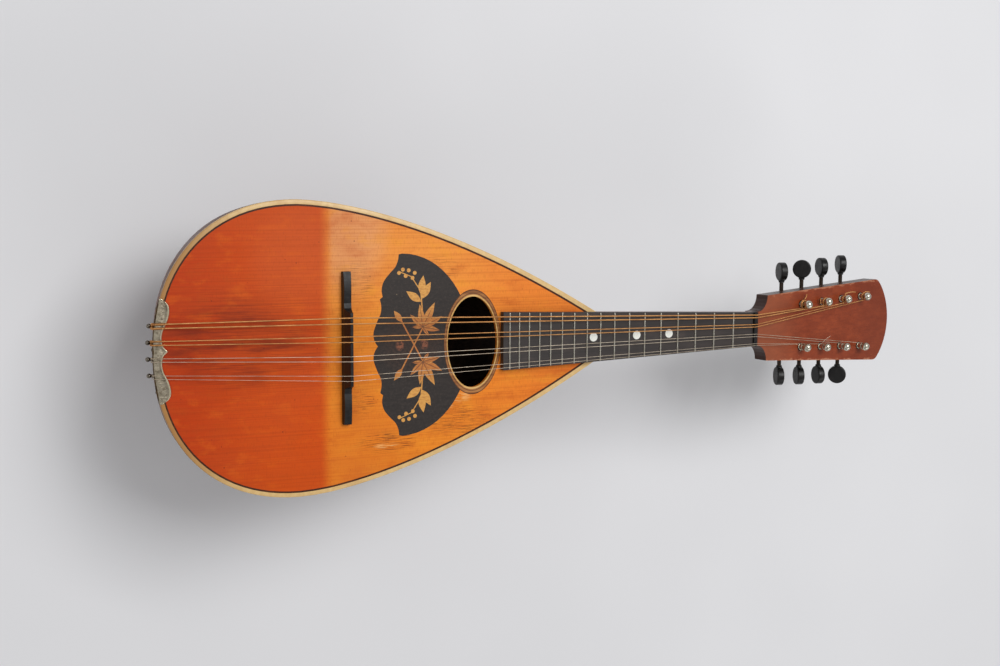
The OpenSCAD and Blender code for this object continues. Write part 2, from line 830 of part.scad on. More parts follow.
function cog_plan() = [for (k = [0:COG_TEETH - 1], e = [-2, -1, 1, 2])
    let (
        r = abs(e) == 2 ? COG_ROOT_R : COG_TIP_R,
        a = 360 * k / COG_TEETH + sign(e) * (abs(e) == 2 ? TOOTH_ROOT : TOOTH_TIP)
    )
    [r * cos(a), r * sin(a)]];

module tuner_post(k) color("lightgray") in_place()
    at_post(k)
        difference() {
            union() {
                translate([0, 0, -SHAFT_DEPTH]) cylinder(h = SHAFT_DEPTH + 0.6, r = POST_R);
                cylinder(h = WAIST_TOP + 0.5, r = WAIST_R);
                translate([0, 0, WAIST_TOP]) cylinder(h = CAP_RIM, r = CAP_R);
                translate([0, 0, WAIST_TOP + CAP_RIM])
                    intersection() {
                        sphere(r = CAP_R);
                        cylinder(h = CAP_R + 1, r = CAP_R + 1);
                    }
                translate([0, 0, -SHAFT_DEPTH - COG_T / 2])
                    linear_extrude(height = COG_T)
                        polygon(cog_plan());
                translate([0, 0, -SHAFT_DEPTH - COG_T / 2 - 1]) cylinder(h = 2, r = 2);
            }
            translate([0, 0, WAIST_TOP - 0.9]) rotate([0, 90, 0]) cylinder(h = 10, r = 0.45, center = true);
        }

// The screw thread round a tuner shaft, with a gap centred where the cog's tooth enters
function thread_ring(a) =
    let (y = WORM_LEAD * (a / 360 + 0.5), c = cos(a), s = -sin(a))
    [[THREAD_ROOT_R * c, y - 0.44, THREAD_ROOT_R * s], [THREAD_R * c, y - 0.25, THREAD_R * s],
     [THREAD_R * c, y + 0.25, THREAD_R * s], [THREAD_ROOT_R * c, y + 0.44, THREAD_ROOT_R * s]];

module worm_at(k) {
    row = k - 1;
    at_post(k)
        translate([-SHAFT_OFFSET, 0, -SHAFT_DEPTH]) {
            loft([for (a = [-180 * THREAD_TURNS - 180:25:180 * THREAD_TURNS - 180]) thread_ring(a)]);
            translate([0, -EAR_NEAR - EAR_T, 0])
                rotate([-90, 0, 0])
                    cylinder(h = BUTTON_Y[row] - 2 - post_at(k).y + EAR_NEAR + EAR_T, r = SHAFT_R);
        }
}

module tuner_worm(k) color("gray") in_place() {
    if (k <= SIDE_POSTS) worm_at(k);
    else mirror([0, 1, 0]) worm_at(k - SIDE_POSTS);
}

// A thick disc with a collar that takes the shaft's end, its axis turned by the rest angle
module button_at(k, rest) {
    shift = BUTTON_Y[k - 1] - post_at(k).y;
    at_post(k)
        translate([-SHAFT_OFFSET, shift, -SHAFT_DEPTH])
            rotate([0, rest, 0])
                difference() {
                    union() {
                        intersection() {
                            cylinder(h = BUTTON_T, r = button_d / 2, center = true);
                            sphere(r = button_d / 2 + 0.35);
                        }
                        rotate([90, 0, 0]) translate([0, 0, 4]) cylinder(h = button_d / 2 - 2.6, r = 2.5);
                    }
                    rotate([90, 0, 0]) translate([0, 0, 2]) cylinder(h = button_d, r = SHAFT_R + GLUE);
                }
}

module tuner_button(k) color("black") in_place() {
    if (k <= SIDE_POSTS) button_at(k, BUTTON_REST[k - 1]);
    else mirror([0, 1, 0]) button_at(k - SIDE_POSTS, BUTTON_REST[k - 1]);
}

// ---- bridge ----

module bridge() color("black") in_place()
    difference() {
        half = bridge_len / 2;
        intersection() {
            translate([bridge_x, 0, 0.05])
                rotate([90, 0, 90])
                    linear_extrude(height = 12, center = true)
                        polygon(concat(
                            [[-half, 0], [-half, 3.6]],
                            [for (m = [1:-0.125:0]) [-half + 17 * (1 - m) + 4, 4.4 + 0.7 * sin(180 * m)]],
                            [for (m = [0:0.2:1]) [-27.5 + 3 * m, 5 + (bridge_h - 5.2) * (1 - cos(90 * m))]],
                            [[-22, bridge_h - 0.05], [22, bridge_h - 0.05]],
                            [for (m = [1:-0.2:0]) [27.5 - 3 * m, 5 + (bridge_h - 5.2) * (1 - cos(90 * m))]],
                            [for (m = [0:0.125:1]) [half - 17 * (1 - m) - 4, 4.4 + 0.7 * sin(180 * m)]],
                            [[half, 3.6], [half, 0]]
                        ));
            rotate([90, 0, 0])
                linear_extrude(height = bridge_len + 2, center = true)
                    polygon([
                        [bridge_x - 2.8, 0], [bridge_x + 2.8, 0], [bridge_x + 2.8, 4],
                        [CROWN_X + 0.5, bridge_h + 1], [CROWN_X - 0.9, bridge_h + 1], [bridge_x - 2.4, 5]
                    ]);
        }
        for (i = [0:7])
            translate([bridge_x - 6, BRIDGE_Y[i], STRING_Z_BRIDGE])
                rotate([0, 90, 0])
                    cylinder(h = 12, r = string_r(i) + 0.4);
    }

// ---- tail fittings ----

function tail_front() = concat([TAIL_POINT, [-114, 2.4]], curve(TAIL_FRONT));

module tailpiece() color("silver") in_place()
    difference() {
        union() {
            intersection() {
                top_piece(outline(-METAL_T - 0.1), -METAL_T, -GLUE);
                translate([0, TAIL_SHIFT, -50])
                    linear_extrude(height = 100)
                        polygon(both_sides(concat(tail_front(), [[-140, TAIL_HALF]])));
            }
            intersection() {
                top_layer(-METAL_T, BIG);
                difference() {
                    translate([0, 0, -60]) linear_extrude(height = 80) polygon(outline(-METAL_T - 0.1));
                    translate([0, 0, -61]) linear_extrude(height = 82) polygon(outline(-0.1));
                }
                translate([-120, TAIL_SHIFT, 0])
                    rotate([90, 0, 90])
                        linear_extrude(height = 30, center = true)
                            polygon(concat(
                                [[-TAIL_HALF, 5]],
                                [for (p = SKIRT) [-p.x, p.y]],
                                [for (k = [len(SKIRT) - 2:-1:0]) SKIRT[k]],
                                [[TAIL_HALF, 5]]
                            ));
            }
        }
        nail_bores();
    }

module tailpiece_hooks() color("silver") in_place()
    for (course = [0:3])
        translate([tail_edge_x(hook_y(course)) - METAL_T - 0.1 - GLUE, hook_y(course), HOOK_Z])
            rotate([0, -90, 0]) {
                translate([0, 0, 0.05]) cylinder(h = HOOK_LEN, r = HOOK_R);
                translate([0, 0, HOOK_LEN + KNOB_R * 0.8]) sphere(r = KNOB_R);
            }

module tailpiece_nails() color("gray") in_place()
    for (p = NAIL_PLACES)
        let (y = TAIL_SHIFT + p[0])
            translate([tail_edge_x(y) - METAL_T - 0.1 - GLUE, y, p[1]]) {
                rotate([0, 90, 0]) translate([0, 0, -0.9]) cylinder(h = 8, r = NAIL_R);
                rotate([0, -90, 0]) translate([0, 0, 0.3]) cylinder(h = 0.9, r1 = 1.3, r2 = 0.8);
            }

// ---- strings, two to a course ----

module course(n, tint) color(tint) in_place()
    for (i = [2 * n, 2 * n + 1]) tube(string_route(i), string_r(i), 8);

module strings_g() course(0, "peru");
module strings_d() course(1, "peru");
module strings_a() course(2, "lightgray");
module strings_e() course(3, "lightgray");

soundboard();
binding();
purfling();
rosette();
pickguard();
pickguard_inlay();
soundboard_braces();
rim_linings();
tail_block();
neck_block();
end_clasp();
bowl_rib_middle();
for (k = [1:RIB_PAIRS]) bowl_ribs_pair(k);
neck();
fretboard();
frets();
position_dots();
nut();
head();
tailpiece();
tailpiece_hooks();
tailpiece_nails();
bridge();
strings_g();
strings_d();
strings_a();
strings_e();
tuner_plate_bass();
tuner_plate_treble();
tuner_screws();
for (k = [1:2 * SIDE_POSTS]) tuner_post(k);
for (k = [1:2 * SIDE_POSTS]) tuner_worm(k);
for (k = [1:2 * SIDE_POSTS]) tuner_button(k);
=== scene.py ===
"""A bowl-back mandolin: the looks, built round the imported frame.

Shapes are worked out in millimetres in the instrument's own frame, which has its
origin on the bridge line at the top's surface, +X toward the head, +Y toward the
low strings and +Z out of the top. BODY takes that frame to the row frame in metres.
"""
import json
from math import asin, atan2, cos, degrees, exp, pi, radians, sin, tan, tau

import bmesh
import bpy
from mathutils import Matrix, Vector, noise


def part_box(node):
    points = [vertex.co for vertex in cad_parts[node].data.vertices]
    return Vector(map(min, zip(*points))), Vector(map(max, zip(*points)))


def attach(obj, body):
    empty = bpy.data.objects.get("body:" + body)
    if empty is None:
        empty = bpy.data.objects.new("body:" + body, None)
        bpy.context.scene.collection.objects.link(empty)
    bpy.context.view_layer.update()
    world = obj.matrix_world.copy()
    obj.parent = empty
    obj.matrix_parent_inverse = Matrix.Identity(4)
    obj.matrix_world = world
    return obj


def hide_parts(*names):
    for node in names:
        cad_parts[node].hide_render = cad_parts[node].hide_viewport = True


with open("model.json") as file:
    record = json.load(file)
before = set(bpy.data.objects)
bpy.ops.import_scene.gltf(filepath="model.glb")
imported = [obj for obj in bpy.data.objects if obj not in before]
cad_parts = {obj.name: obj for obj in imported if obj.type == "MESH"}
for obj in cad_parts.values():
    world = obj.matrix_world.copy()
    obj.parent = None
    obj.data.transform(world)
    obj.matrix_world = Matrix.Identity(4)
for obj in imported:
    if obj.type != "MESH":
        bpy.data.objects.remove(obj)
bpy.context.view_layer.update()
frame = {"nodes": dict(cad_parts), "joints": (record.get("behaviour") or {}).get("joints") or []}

# ---- sizes, in millimetres, and the two frames ----

MM = 0.001

# Body: the outline is REAR_LEN behind its widest place and comes to a point FRONT_LEN before it
TOP_T = 2.8
RIB_T = 1.8
RIB_COUNT = 15
RIB_CAMBER = 0.45
WIDEST_X = -27
REAR_LEN = 93.6
REAR_POWER = 2.2
FRONT_LEN = 252
FRONT_POWER = 1.6
STERN_POWER = 1.7
HEEL_X = 196
CLASP_X = -118
CANT_X = -6
CANT = tan(radians(3.4))

# Edging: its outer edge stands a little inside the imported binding's
EDGE_TRIM = 0.8
CAD_REAR_LEN = 95
CAD_EDGE_W = 5
BINDING_SHARE = 0.72
RING_W = 2.8
RING_SWELL = 2.1

# Neck, fretboard and head
SCALE_LEN = 330
FRET_COUNT = 17
FRET_HALF_W = 0.55
FRET_H = 0.85
BOARD_T = 5
NUT_HALF = 13.2
BOARD_TAPER = 0.0349
NECK_DEPTH = 15.5
HEEL_RUN = 9
HEAD_T = 12
HEAD_X = SCALE_LEN + 4
HEAD_Z = 3
SHOULDER_X = SCALE_LEN + 16
SHOULDER_HALF = 25.5
HEAD_FLARE = 8.2 / 128

# Machine heads: the posts stand in two rows, in the head's frame
POSTS = range(1, 9)
SIDE_POSTS = 4
FIRST_POST = 50
POST_PITCH = 23
POST_Y = 17
POST_STEP = 1.15
WAIST_R = 2.2
COG_TEETH = 12
COG_PITCH_R = 4.3
SHAFT_OFFSET = 6.5
SHAFT_DEPTH = 16
SHAFT_R = 1.6
PLATE_T = 1
BUTTON_R = 7.3
BUTTON_T = 5.6
BUTTON_ROUND = 0.9
BUTTON_REST = [65, -48, 68, 61, 60, 62, 70, -48]

# Tailpiece: places across it are measured from TAIL_SHIFT, and heights from the top
METAL_T = 0.8
SKIRT_LEAN = 0.13
TAIL_SHIFT = 2.5
TAIL_HALF = 33.5
TAIL_FRONT = [(-115.1, 4.5), (-115.4, 9), (-114.3, 14), (-111.6, 19.5), (-110.2, 25.5), (-111, 30),
              (-114, 32.8), (-118, TAIL_HALF)]
TAIL_POINT = [(-111.6, 0), (-114, 2.4)]
SKIRT = [(0, 20.5), (4, 19.5), (10, 16.5), (17, 15.5), (24, 16.5), (30, 14.5), (TAIL_HALF, 11)]
HOOK_PITCH = 10.7
HOOK_Z = -12.5
HOOK_R = 0.9
HOOK_LEN = 2.1
KNOB_R = 1.6
NAIL_PLACES = [(27, -12.5), (-27, -12.5), (0, -17.5)]

# Strings, from the low pair to the high pair, and the post that each winds on
COURSES = ["strings_g", "strings_d", "strings_a", "strings_e"]
WOUND_COURSES = 2
STRING_R = [0.45, 0.45, 0.33, 0.33, 0.18, 0.18, 0.14, 0.14]
TAIL_Y = [20.1, 17.5, 9.2, 6.8, -1.8, -3.9, -12.7, -14.9]
BRIDGE_Y = [21.4, 17.5, 8.9, 5.2, -4.4, -7.8, -17.4, -20.9]
BRIDGE_TOP = (5.5, 12.6)
NUT_Y = [11.2, 9.1, 3.9, 2.0, -3.5, -5.4, -10.9, -12.4]
NUT_TOP = (SCALE_LEN + 2, 6.75)
STRING_POST = [1, 2, 3, 4, 8, 7, 6, 5]
WIND_TOP = [3.7, 5.6, 5.2, 5.2]
WIND_GAP = 0.12
# Loose ends of the strings: places along and across the head from each post, and heights
LOOSE_ENDS = {
    1: [(1.8, 3.4, 1.4), (2.6, 5.6, 2.0), (3.1, 7.8, 2.4)],
    2: [(-3.6, -1.2, 2.6), (-4.8, 0.8, 3.0), (-4.6, 3.0, 3.2)],
    3: [(0.6, 3.8, 3.4), (3.6, 5.0, 4.2), (7.6, 5.4, 4.8), (11.4, 5.2, 5.0)],
    4: [(1.6, 3.2, 3.2), (4.6, 3.5, 3.6), (7.2, 3.2, 3.8)],
    5: [(-2.4, -2.4, 3.2), (-4.2, -3.2, 3.6)],
    6: [(-1.0, 3.2, 3.6), (1.8, 6.0, 4.4), (5.8, 8.4, 5.2)],
    7: [(2.4, -2.6, 3.0), (4.6, -3.2, 3.2)],
    8: [(1.6, -3.0, 3.2), (3.8, -4.0, 3.6)],
}

board_low, board_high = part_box("fretboard")
ORIGIN = Vector((board_high.x - SCALE_LEN * MM, 0, board_low.z))
BODY = Matrix.Translation(ORIGIN) @ Matrix.Scale(MM, 4)
CAD_HALF_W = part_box("binding")[1].y / MM
BODY_HALF_W = CAD_HALF_W - EDGE_TRIM
BODY_DEPTH = ORIGIN.z / MM
TAIL_X = WIDEST_X - REAR_LEN

joints = {joint["name"]: joint for joint in frame["joints"]}
post_axis = Vector(joints["post_turn_1"]["axis"])
HEAD_TILT = atan2(post_axis.x, post_axis.z)
TO_HEAD = Matrix.Translation((HEAD_X, 0, HEAD_Z)) @ Matrix.Rotation(HEAD_TILT, 4, "Y")
HEAD = BODY @ TO_HEAD


def at(x, y, z):
    """A move to a place, as a matrix."""
    return Matrix.Translation((x, y, z))


def turned(angle, axis):
    """A rotation round an axis by an angle in degrees, as a matrix."""
    return Matrix.Rotation(radians(angle), 4, axis)


def polar(angle):
    """The cosine and sine of an angle in degrees."""
    return cos(radians(angle)), sin(radians(angle))


def post_place(k):
    """The place of post k on the head's face: u along the head, y across it."""
    spot = HEAD.inverted() @ Vector(joints[f"post_turn_{k}"]["pos_m"])
    return Vector((spot.x, spot.y, 0))


# ---- shapes ----

class Shape:
    """Points and faces of one piece, collected from lofts, lathes and tubes. Each face has
    the index of its look, and each point its run along a tube."""

    def __init__(self):
        self.points = []
        self.faces = []
        self.looks = []
        self.along = []

    def add(self, points, faces, along=None):
        start = len(self.points)
        self.points += [Vector(p) for p in points]
        self.along += along or [0] * len(points)
        self.faces += [[start + k for k in face] for face in faces]
        self.looks += [0] * len(faces)

    def loft(self, rings, closed=True, caps=True, along=None):
        """Faces through rings that have the same number of points."""
        m, n = len(rings[0]), len(rings)
        sides = m if closed else m - 1
        faces = [
            (j * m + k, j * m + (k + 1) % m, (j + 1) * m + (k + 1) % m, (j + 1) * m + k)
            for j in range(n - 1) for k in range(sides)
        ]
        if caps:
            faces += [range(m - 1, -1, -1), range((n - 1) * m, n * m)]
        lengths = [along[j] for j in range(n) for _ in range(m)] if along else None
        self.add([p for ring in rings for p in ring], faces, lengths)

    def lathe(self, profile, place, steps):
        """A profile of (radius, height) turned round Z; its ends close on the axis."""
        turns = [tau * k / steps for k in range(steps)]
        rings = []
        for radius, height in profile:
            r = max(radius, 0.001)
            rings.append([place @ Vector((r * cos(a), r * sin(a), height)) for a in turns])
        self.loft(rings)

    def tube(self, path, radius, sides):
        """A round tube along a path."""
        path = [Vector(p) for p in path]
        rings, along, run, across = [], [], 0, None
        for k, point in enumerate(path):
            ahead = path[min(k + 1, len(path) - 1)]
            behind = path[max(k - 1, 0)]
            heading = (ahead - behind).normalized()
            if across is None:
                across = heading.orthogonal().normalized()
            across = (across - across.dot(heading) * heading).normalized()
            up = heading.cross(across)
            run += (point - behind).length
            along.append(run)
            turns = [tau * j / sides for j in range(sides)]
            rings.append([point + radius * (cos(a) * across + sin(a) * up) for a in turns])
        self.loft(rings, along=along)

    def make(self, name, looks, slot, body="instrument", place=BODY, sharp=35):
        """Turns the shape into an object that rides on a body. Angles over sharp stay sharp."""
        mesh = bpy.data.meshes.new(name)
        mesh.from_pydata([place @ p for p in self.points], [], [list(f) for f in self.faces])
        mesh.validate()
        layer = mesh.uv_layers.new(name="along")
        for loop in mesh.loops:
            layer.data[loop.index].uv = (0, self.along[loop.vertex_index])
        for look in looks if isinstance(looks, list) else [looks]:
            mesh.materials.append(look)
        for face, index in zip(mesh.polygons, self.looks):
            face.material_index = index
        obj = bpy.data.objects.new(name, mesh)
        bpy.context.scene.collection.objects.link(obj)
        outward(mesh)
        mesh.shade_smooth()
        mesh.set_sharp_from_angle(angle=radians(sharp))
        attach(obj, body)
        return obj

    def stand_in(self, node, *finish, **more):
        """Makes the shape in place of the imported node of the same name."""
        obj = self.make(node, *finish, **more)
        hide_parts(node)
        return obj


def outward(mesh):
    """Turns every face of a closed mesh outward."""
    work = bmesh.new()
    work.from_mesh(mesh)
    bmesh.ops.recalc_face_normals(work, faces=work.faces)
    work.to_mesh(mesh)
    work.free()


def rounded(path, radius, steps=5):
    """The path with each corner replaced by a curve that starts radius before it."""
    path = [Vector(p) for p in path]
    out = [path[0]]
    for before, corner, after in zip(path, path[1:], path[2:]):
        back = min(radius, (before - corner).length * 0.45)
        fore = min(radius, (after - corner).length * 0.45)
        start = corner + back * (before - corner).normalized()
        end = corner + fore * (after - corner).normalized()
        for k in range(steps + 1):
            m = k / steps
            out.append((1 - m) ** 2 * start + 2 * m * (1 - m) * corner + m * m * end)
    return out + [path[-1]]


def curve(points, steps=6):
    """A smooth curve through the points."""
    points = [Vector(p) for p in points]
    ends = [2 * points[0] - points[1]] + points + [2 * points[-1] - points[-2]]
    out = []
    for a, b, c, d in zip(ends, ends[1:], ends[2:], ends[3:]):
        for k in range(steps):
            t = k / steps
            out.append(0.5 * (2 * b + (c - a) * t + (2 * a - 5 * b + 4 * c - d) * t ** 2
                              + (3 * b - a - 3 * c + d) * t ** 3))
    return out + [points[-1]]


def soften(name, width, look, segments=2):
    """Rounds a CAD node's edges with modifiers and gives it a material."""
    obj = frame["nodes"][name]
    weld = obj.modifiers.new("weld", "WELD")
    weld.merge_threshold = 0.002 * MM
    bevel = obj.modifiers.new("round", "BEVEL")
    bevel.width = width * MM
    bevel.segments = segments
    bevel.limit_method = "ANGLE"
    bevel.angle_limit = radians(35)
    bevel.harden_normals = False
    dress(name, look)


def dress(name, look):
    """Gives a CAD node a material in place of its plain one."""
    obj = frame["nodes"][name]
    obj.data.materials.clear()
    obj.data.materials.append(look)


# ---- the body's curves ----

def top_z(x):
    """Height of the top's surface, which falls behind the bend."""
    return (x - CANT_X) * CANT if x < CANT_X else 0


def share(x, inset=0):
    """Share of the full width and depth at a place along the body."""
    if x < WIDEST_X:
        return max(0, 1 - ((WIDEST_X - x) / (REAR_LEN - inset)) ** REAR_POWER) ** (1 / REAR_POWER)
    return 1 - ((x - WIDEST_X) / (FRONT_LEN - inset)) ** FRONT_POWER


def bowl(x, angle, inset=0):
    """A point of the bowl: angle 0 is the +Y rim, 90 the bottom, 180 the -Y rim."""
    a = radians(angle)
    rim = top_z(x) - TOP_T
    part = share(x, inset)
    if x < WIDEST_X:
        drop = (BODY_DEPTH - inset + rim) * part ** STERN_POWER
    else:
        drop = (BODY_DEPTH - inset) * part + rim
    return Vector((x, (BODY_HALF_W - inset) * part * cos(a), rim - drop * sin(a)))


def tail_edge_x(y):
    """The outline's place behind the widest place, at a distance from the middle line."""
    return WIDEST_X - REAR_LEN * (1 - (abs(y) / BODY_HALF_W) ** REAR_POWER) ** (1 / REAR_POWER)


def edge(s, half_w=BODY_HALF_W, rear=REAR_LEN):
    """The plan outline: s runs from 0 at the tail to 2 at the heel, negative on the -Y side."""
    t = abs(s)
    half_w = -half_w if s < 0 else half_w
    if t < 1:
        x = WIDEST_X - rear * cos(pi / 2 * t) ** (2 / REAR_POWER)
        return Vector((x, half_w * sin(pi / 2 * t) ** (2 / REAR_POWER)))
    x = WIDEST_X + (HEEL_X - WIDEST_X) * (t - 1)
    return Vector((x, half_w * share(x)))


def board_edge(s):
    """The outline of the soundboard inside its edging."""
    cad = (CAD_HALF_W, CAD_REAR_LEN)
    step = (edge(s + 0.01, *cad) - edge(s - 0.01, *cad)).normalized()
    return edge(s, *cad) + CAD_EDGE_W * Vector((step.y, -step.x))


def rim_stations():
    """Places along the outline, with one at the bend of the top on each side."""
    bend = 1 + (CANT_X - WIDEST_X) / (HEEL_X - WIDEST_X)
    side = sorted([k / 24 for k in range(1, 49)] + [bend])
    return [-s for s in reversed(side)] + [0] + side


# ---- materials ----

def linear(shade):
    """A display colour, three numbers from 0 to 255, as the linear colour that shaders take."""
    parts = [v / 255 for v in shade]
    return tuple(v / 12.92 if v <= 0.04045 else ((v + 0.055) / 1.055) ** 2.4 for v in parts) + (1,)


class Look:
    """A material made of nodes. Patterns are scaled in cycles for each millimetre of the
    instrument's frame, and tint is the colour so far."""

    def __init__(self, name, **shader):
        self.material = bpy.data.materials.new(name)
        self.material.use_nodes = True
        self.tree = self.material.node_tree
        self.shader = self.tree.nodes["Principled BSDF"]
        self.tint = None
        for socket, value in shader.items():
            self.shader.inputs[socket.replace("_", " ")].default_value = value

    def node(self, kind, inputs, output=0, **settings):
        node = self.tree.nodes.new("ShaderNode" + kind)
        for key, value in settings.items():
            setattr(node, key, value)
        for key, value in inputs.items():
            if isinstance(value, bpy.types.NodeSocket):
                self.tree.links.new(value, node.inputs[key])
            else:
                node.inputs[key].default_value = value
        return node.outputs[output]

    def where(self, scale=(1, 1, 1), shift=(0, 0, 0), source="Object"):
        """Object coordinates in millimetres, or the run along a tube, scaled."""
        spot = self.node("TexCoord", {}, source)
        unit = 1 if source == "UV" else 1 / MM
        origin = (0, 0, 0) if source == "UV" else ORIGIN
        move = [-origin[k] * unit * scale[k] + shift[k] for k in range(3)]
        sizes = [unit * v for v in scale]
        return self.node("Mapping", {"Vector": spot, "Location": move, "Scale": sizes})

    def axis(self, name):
        return self.node("SeparateXYZ", {0: self.where()}, name)

    def noise(self, scale, detail=3, rough=0.55, distort=0, shift=(0, 0, 0)):
        spot = self.where(scale, shift)
        return self.node("TexNoise", {"Vector": spot, "Scale": 1, "Detail": detail,
                                      "Roughness": rough, "Distortion": distort})

    def spots(self, scale):
        return self.node("TexVoronoi", {"Vector": self.where(scale), "Scale": 1})

    def calc(self, operation, a, b=0.0):
        return self.node("Math", {0: a, 1: b}, operation=operation)

    def span(self, value, low, high, to_low=0.0, to_high=1.0):
        """Maps low..high smoothly to to_low..to_high and holds the ends."""
        ends = {"From Min": low, "From Max": high, "To Min": to_low, "To Max": to_high}
        return self.node("MapRange", {"Value": value, **ends}, interpolation_type="SMOOTHSTEP")

    def both(self, a, *more):
        """The product of its arguments."""
        for b in more:
            a = self.calc("MULTIPLY", a, b)
        return a

    def patch(self, x, y, x_r, y_r):
        """1 at a place on the top, falling to 0 at an ellipse round it."""
        dx = self.calc("MULTIPLY", self.calc("SUBTRACT", self.axis("X"), x), 1 / x_r)
        dy = self.calc("MULTIPLY", self.calc("SUBTRACT", self.axis("Y"), y), 1 / y_r)
        square = self.calc("ADD", self.both(dx, dx), self.both(dy, dy))
        return self.span(square, 0.1, 1, 1, 0)

    def mix(self, factor, a, b):
        """Goes from a to b, which are outputs or display colours."""
        a, b = (linear(v) if isinstance(v, tuple) else v for v in (a, b))
        return self.node("Mix", {0: factor, 6: a, 7: b}, 2, data_type="RGBA")

    def lay(self, shade, *factors):
        """Lays a colour over the tint so far, as strongly as the product of the factors."""
        self.tint = self.mix(self.both(*factors), self.tint, shade)

    def stain(self, shade, pattern, low, high, strength):
        """Lays a colour that grows from none to its strength as a pattern goes from low to high."""
        self.lay(shade, self.span(pattern, low, high, 0, strength))

    def ramp(self, value, *stops):
        """Starts the tint with colours at places along a pattern."""
        node = self.tree.nodes.new("ShaderNodeValToRGB")
        self.tree.links.new(value, node.inputs[0])
        marks = node.color_ramp.elements
        while len(marks) < len(stops):
            marks.new(0.5)
        for mark, (place, tint) in zip(marks, stops):
            mark.position = place
            mark.color = linear(tint)
        self.tint = node.outputs[0]

    def done(self, rough=None, height=None, depth=0.05):
        """Links the tint, the span given for roughness and a bump of depth millimetres."""
        self.tree.links.new(self.tint, self.shader.inputs["Base Color"])
        if rough is not None:
            self.tree.links.new(self.span(*rough), self.shader.inputs["Roughness"])
        if height is not None:
            bump = self.node("Bump", {"Height": height, "Distance": depth * MM, "Strength": 1.0})
            self.tree.links.new(bump, self.shader.inputs["Normal"])
        return self.material


def spruce():
    """Old orange varnish on spruce, with painted shade behind the bend of the top, which is darker
    and redder there.
    """
    look = Look("spruce_varnished", Specular_IOR_Level=0.2)
    rings = look.noise((0.003, 0.8, 0), 2, 0.5)
    fibres = look.noise((0.04, 3.2, 0), 3, 0.6)
    silk = look.noise((1.3, 0.25, 0), 2, 0.6)
    clouds = look.noise((0.016, 0.022, 0), 4, 0.55)
    mottle = look.noise((0.05, 0.09, 0), 4, 0.6, shift=(3, 5, 0))
    along, across = look.axis("X"), look.axis("Y")
    rear = look.span(along, CANT_X - 8, CANT_X + 4, 1, 0)
    front = look.span(along, CANT_X - 2, CANT_X + 3)
    # painted sheen: before the bend the top is painted lighter toward +Y; toward the head it turns
    # redder
    front_tint_and_sheen = look.mix(look.span(across, -20, 70), (236, 138, 34), (240, 150, 62))
    front_tint_and_sheen = look.mix(look.span(along, 60, 150, 0, 0.6), front_tint_and_sheen, (232, 120, 38))
    # painted shade: behind the bend the top is darker and redder, and darker still toward the tail
    rear_tint_and_shade = look.mix(look.span(along, -118, -30, 1, 0), (204, 76, 10), (184, 56, 6))
    look.tint = look.mix(rear, front_tint_and_sheen, rear_tint_and_shade)
    # painted sheen: a pale reflection on the varnish just before the bend
    look.lay((222, 168, 124), look.patch(8, 88, 34, 62), front, 0.5)
    # painted sheen, fainter, on the +Y side just behind the bend
    look.lay((200, 112, 66), look.patch(-26, 60, 40, 44), 0.15)
    look.stain((176, 62, 8), clouds, 0.44, 0.74, 0.42)
    look.stain((186, 74, 12), mottle, 0.5, 0.72, 0.35)
    # the mottle's pale colour also takes the painted shade behind the bend
    pale = look.mix(rear, (238, 156, 44), (220, 98, 16))
    look.lay(pale, look.span(mottle, 0.5, 0.3), 0.4)
    look.lay((186, 72, 12), look.span(look.calc("ABSOLUTE", across), 60, 98), 0.22)
    look.stain((150, 52, 8), rings, 0.42, 0.64, 0.2)
    # the bright fibres also take the painted shade behind the bend
    bright = look.mix(rear, (242, 158, 60), (222, 96, 14))
    look.stain(bright, fibres, 0.5, 0.75, 0.22)
    look.stain((146, 52, 8), silk, 0.52, 0.7, 0.2)
    # redder low on the front, just before the bend
    look.lay((206, 98, 22), look.patch(14, -66, 46, 44), front, 0.4)
    # grime along the strings behind the bridge
    smears = look.span(look.noise((0.022, 0.12, 0), 4, 0.6), 0.42, 0.68, 0.12, 0.72)
    look.lay((104, 30, 12), look.patch(-70, 3, 66, 34), smears)
    hairs = look.span(look.noise((0.02, 2.4, 0), 2, 0.5), 0.5, 0.62)
    look.lay((88, 26, 10), hairs, look.patch(-60, 8, 70, 46), 0.4)
    # scratches round the pickguard, and rubbed wood below the sound hole
    streaks = look.span(look.noise((0.07, 2.3, 0), 2, 0.6), 0.53, 0.62)
    for x, y, x_r, y_r, strength in (
        (34, -66, 26, 9, 1.0), (16, -38, 12, 12, 0.7), (84, -54, 34, 14, 0.8), (15, 44, 12, 18, 0.5),
        (70, 52, 22, 12, 0.6), (86, -84, 26, 8, 0.5),
    ):
        worn = look.both(streaks, look.patch(x, y, x_r, y_r), strength)
        look.lay((84, 34, 16), look.calc("MINIMUM", worn, 0.8))
    bare = look.span(look.noise((0.09, 2.1, 0), 2), 0.5, 0.58)
    for x, y, x_r, y_r in ((89, -38.5, 9, 4.5), (33, -68.5, 11, 2.2), (76, -44, 8, 3)):
        look.lay((238, 180, 112), bare, look.patch(x, y, x_r, y_r), 0.85)
    specks = look.span(look.spots((0.12, 0.13, 0)), 0.03, 0.07, 0.75, 0)
    look.lay((84, 28, 10), specks, look.span(clouds, 0.4, 0.55))
    height = look.calc("ADD", look.both(rings, 0.5), look.both(fibres, 0.5))
    return look.done((clouds, 0.3, 0.7, 0.36, 0.48), height, 0.06)


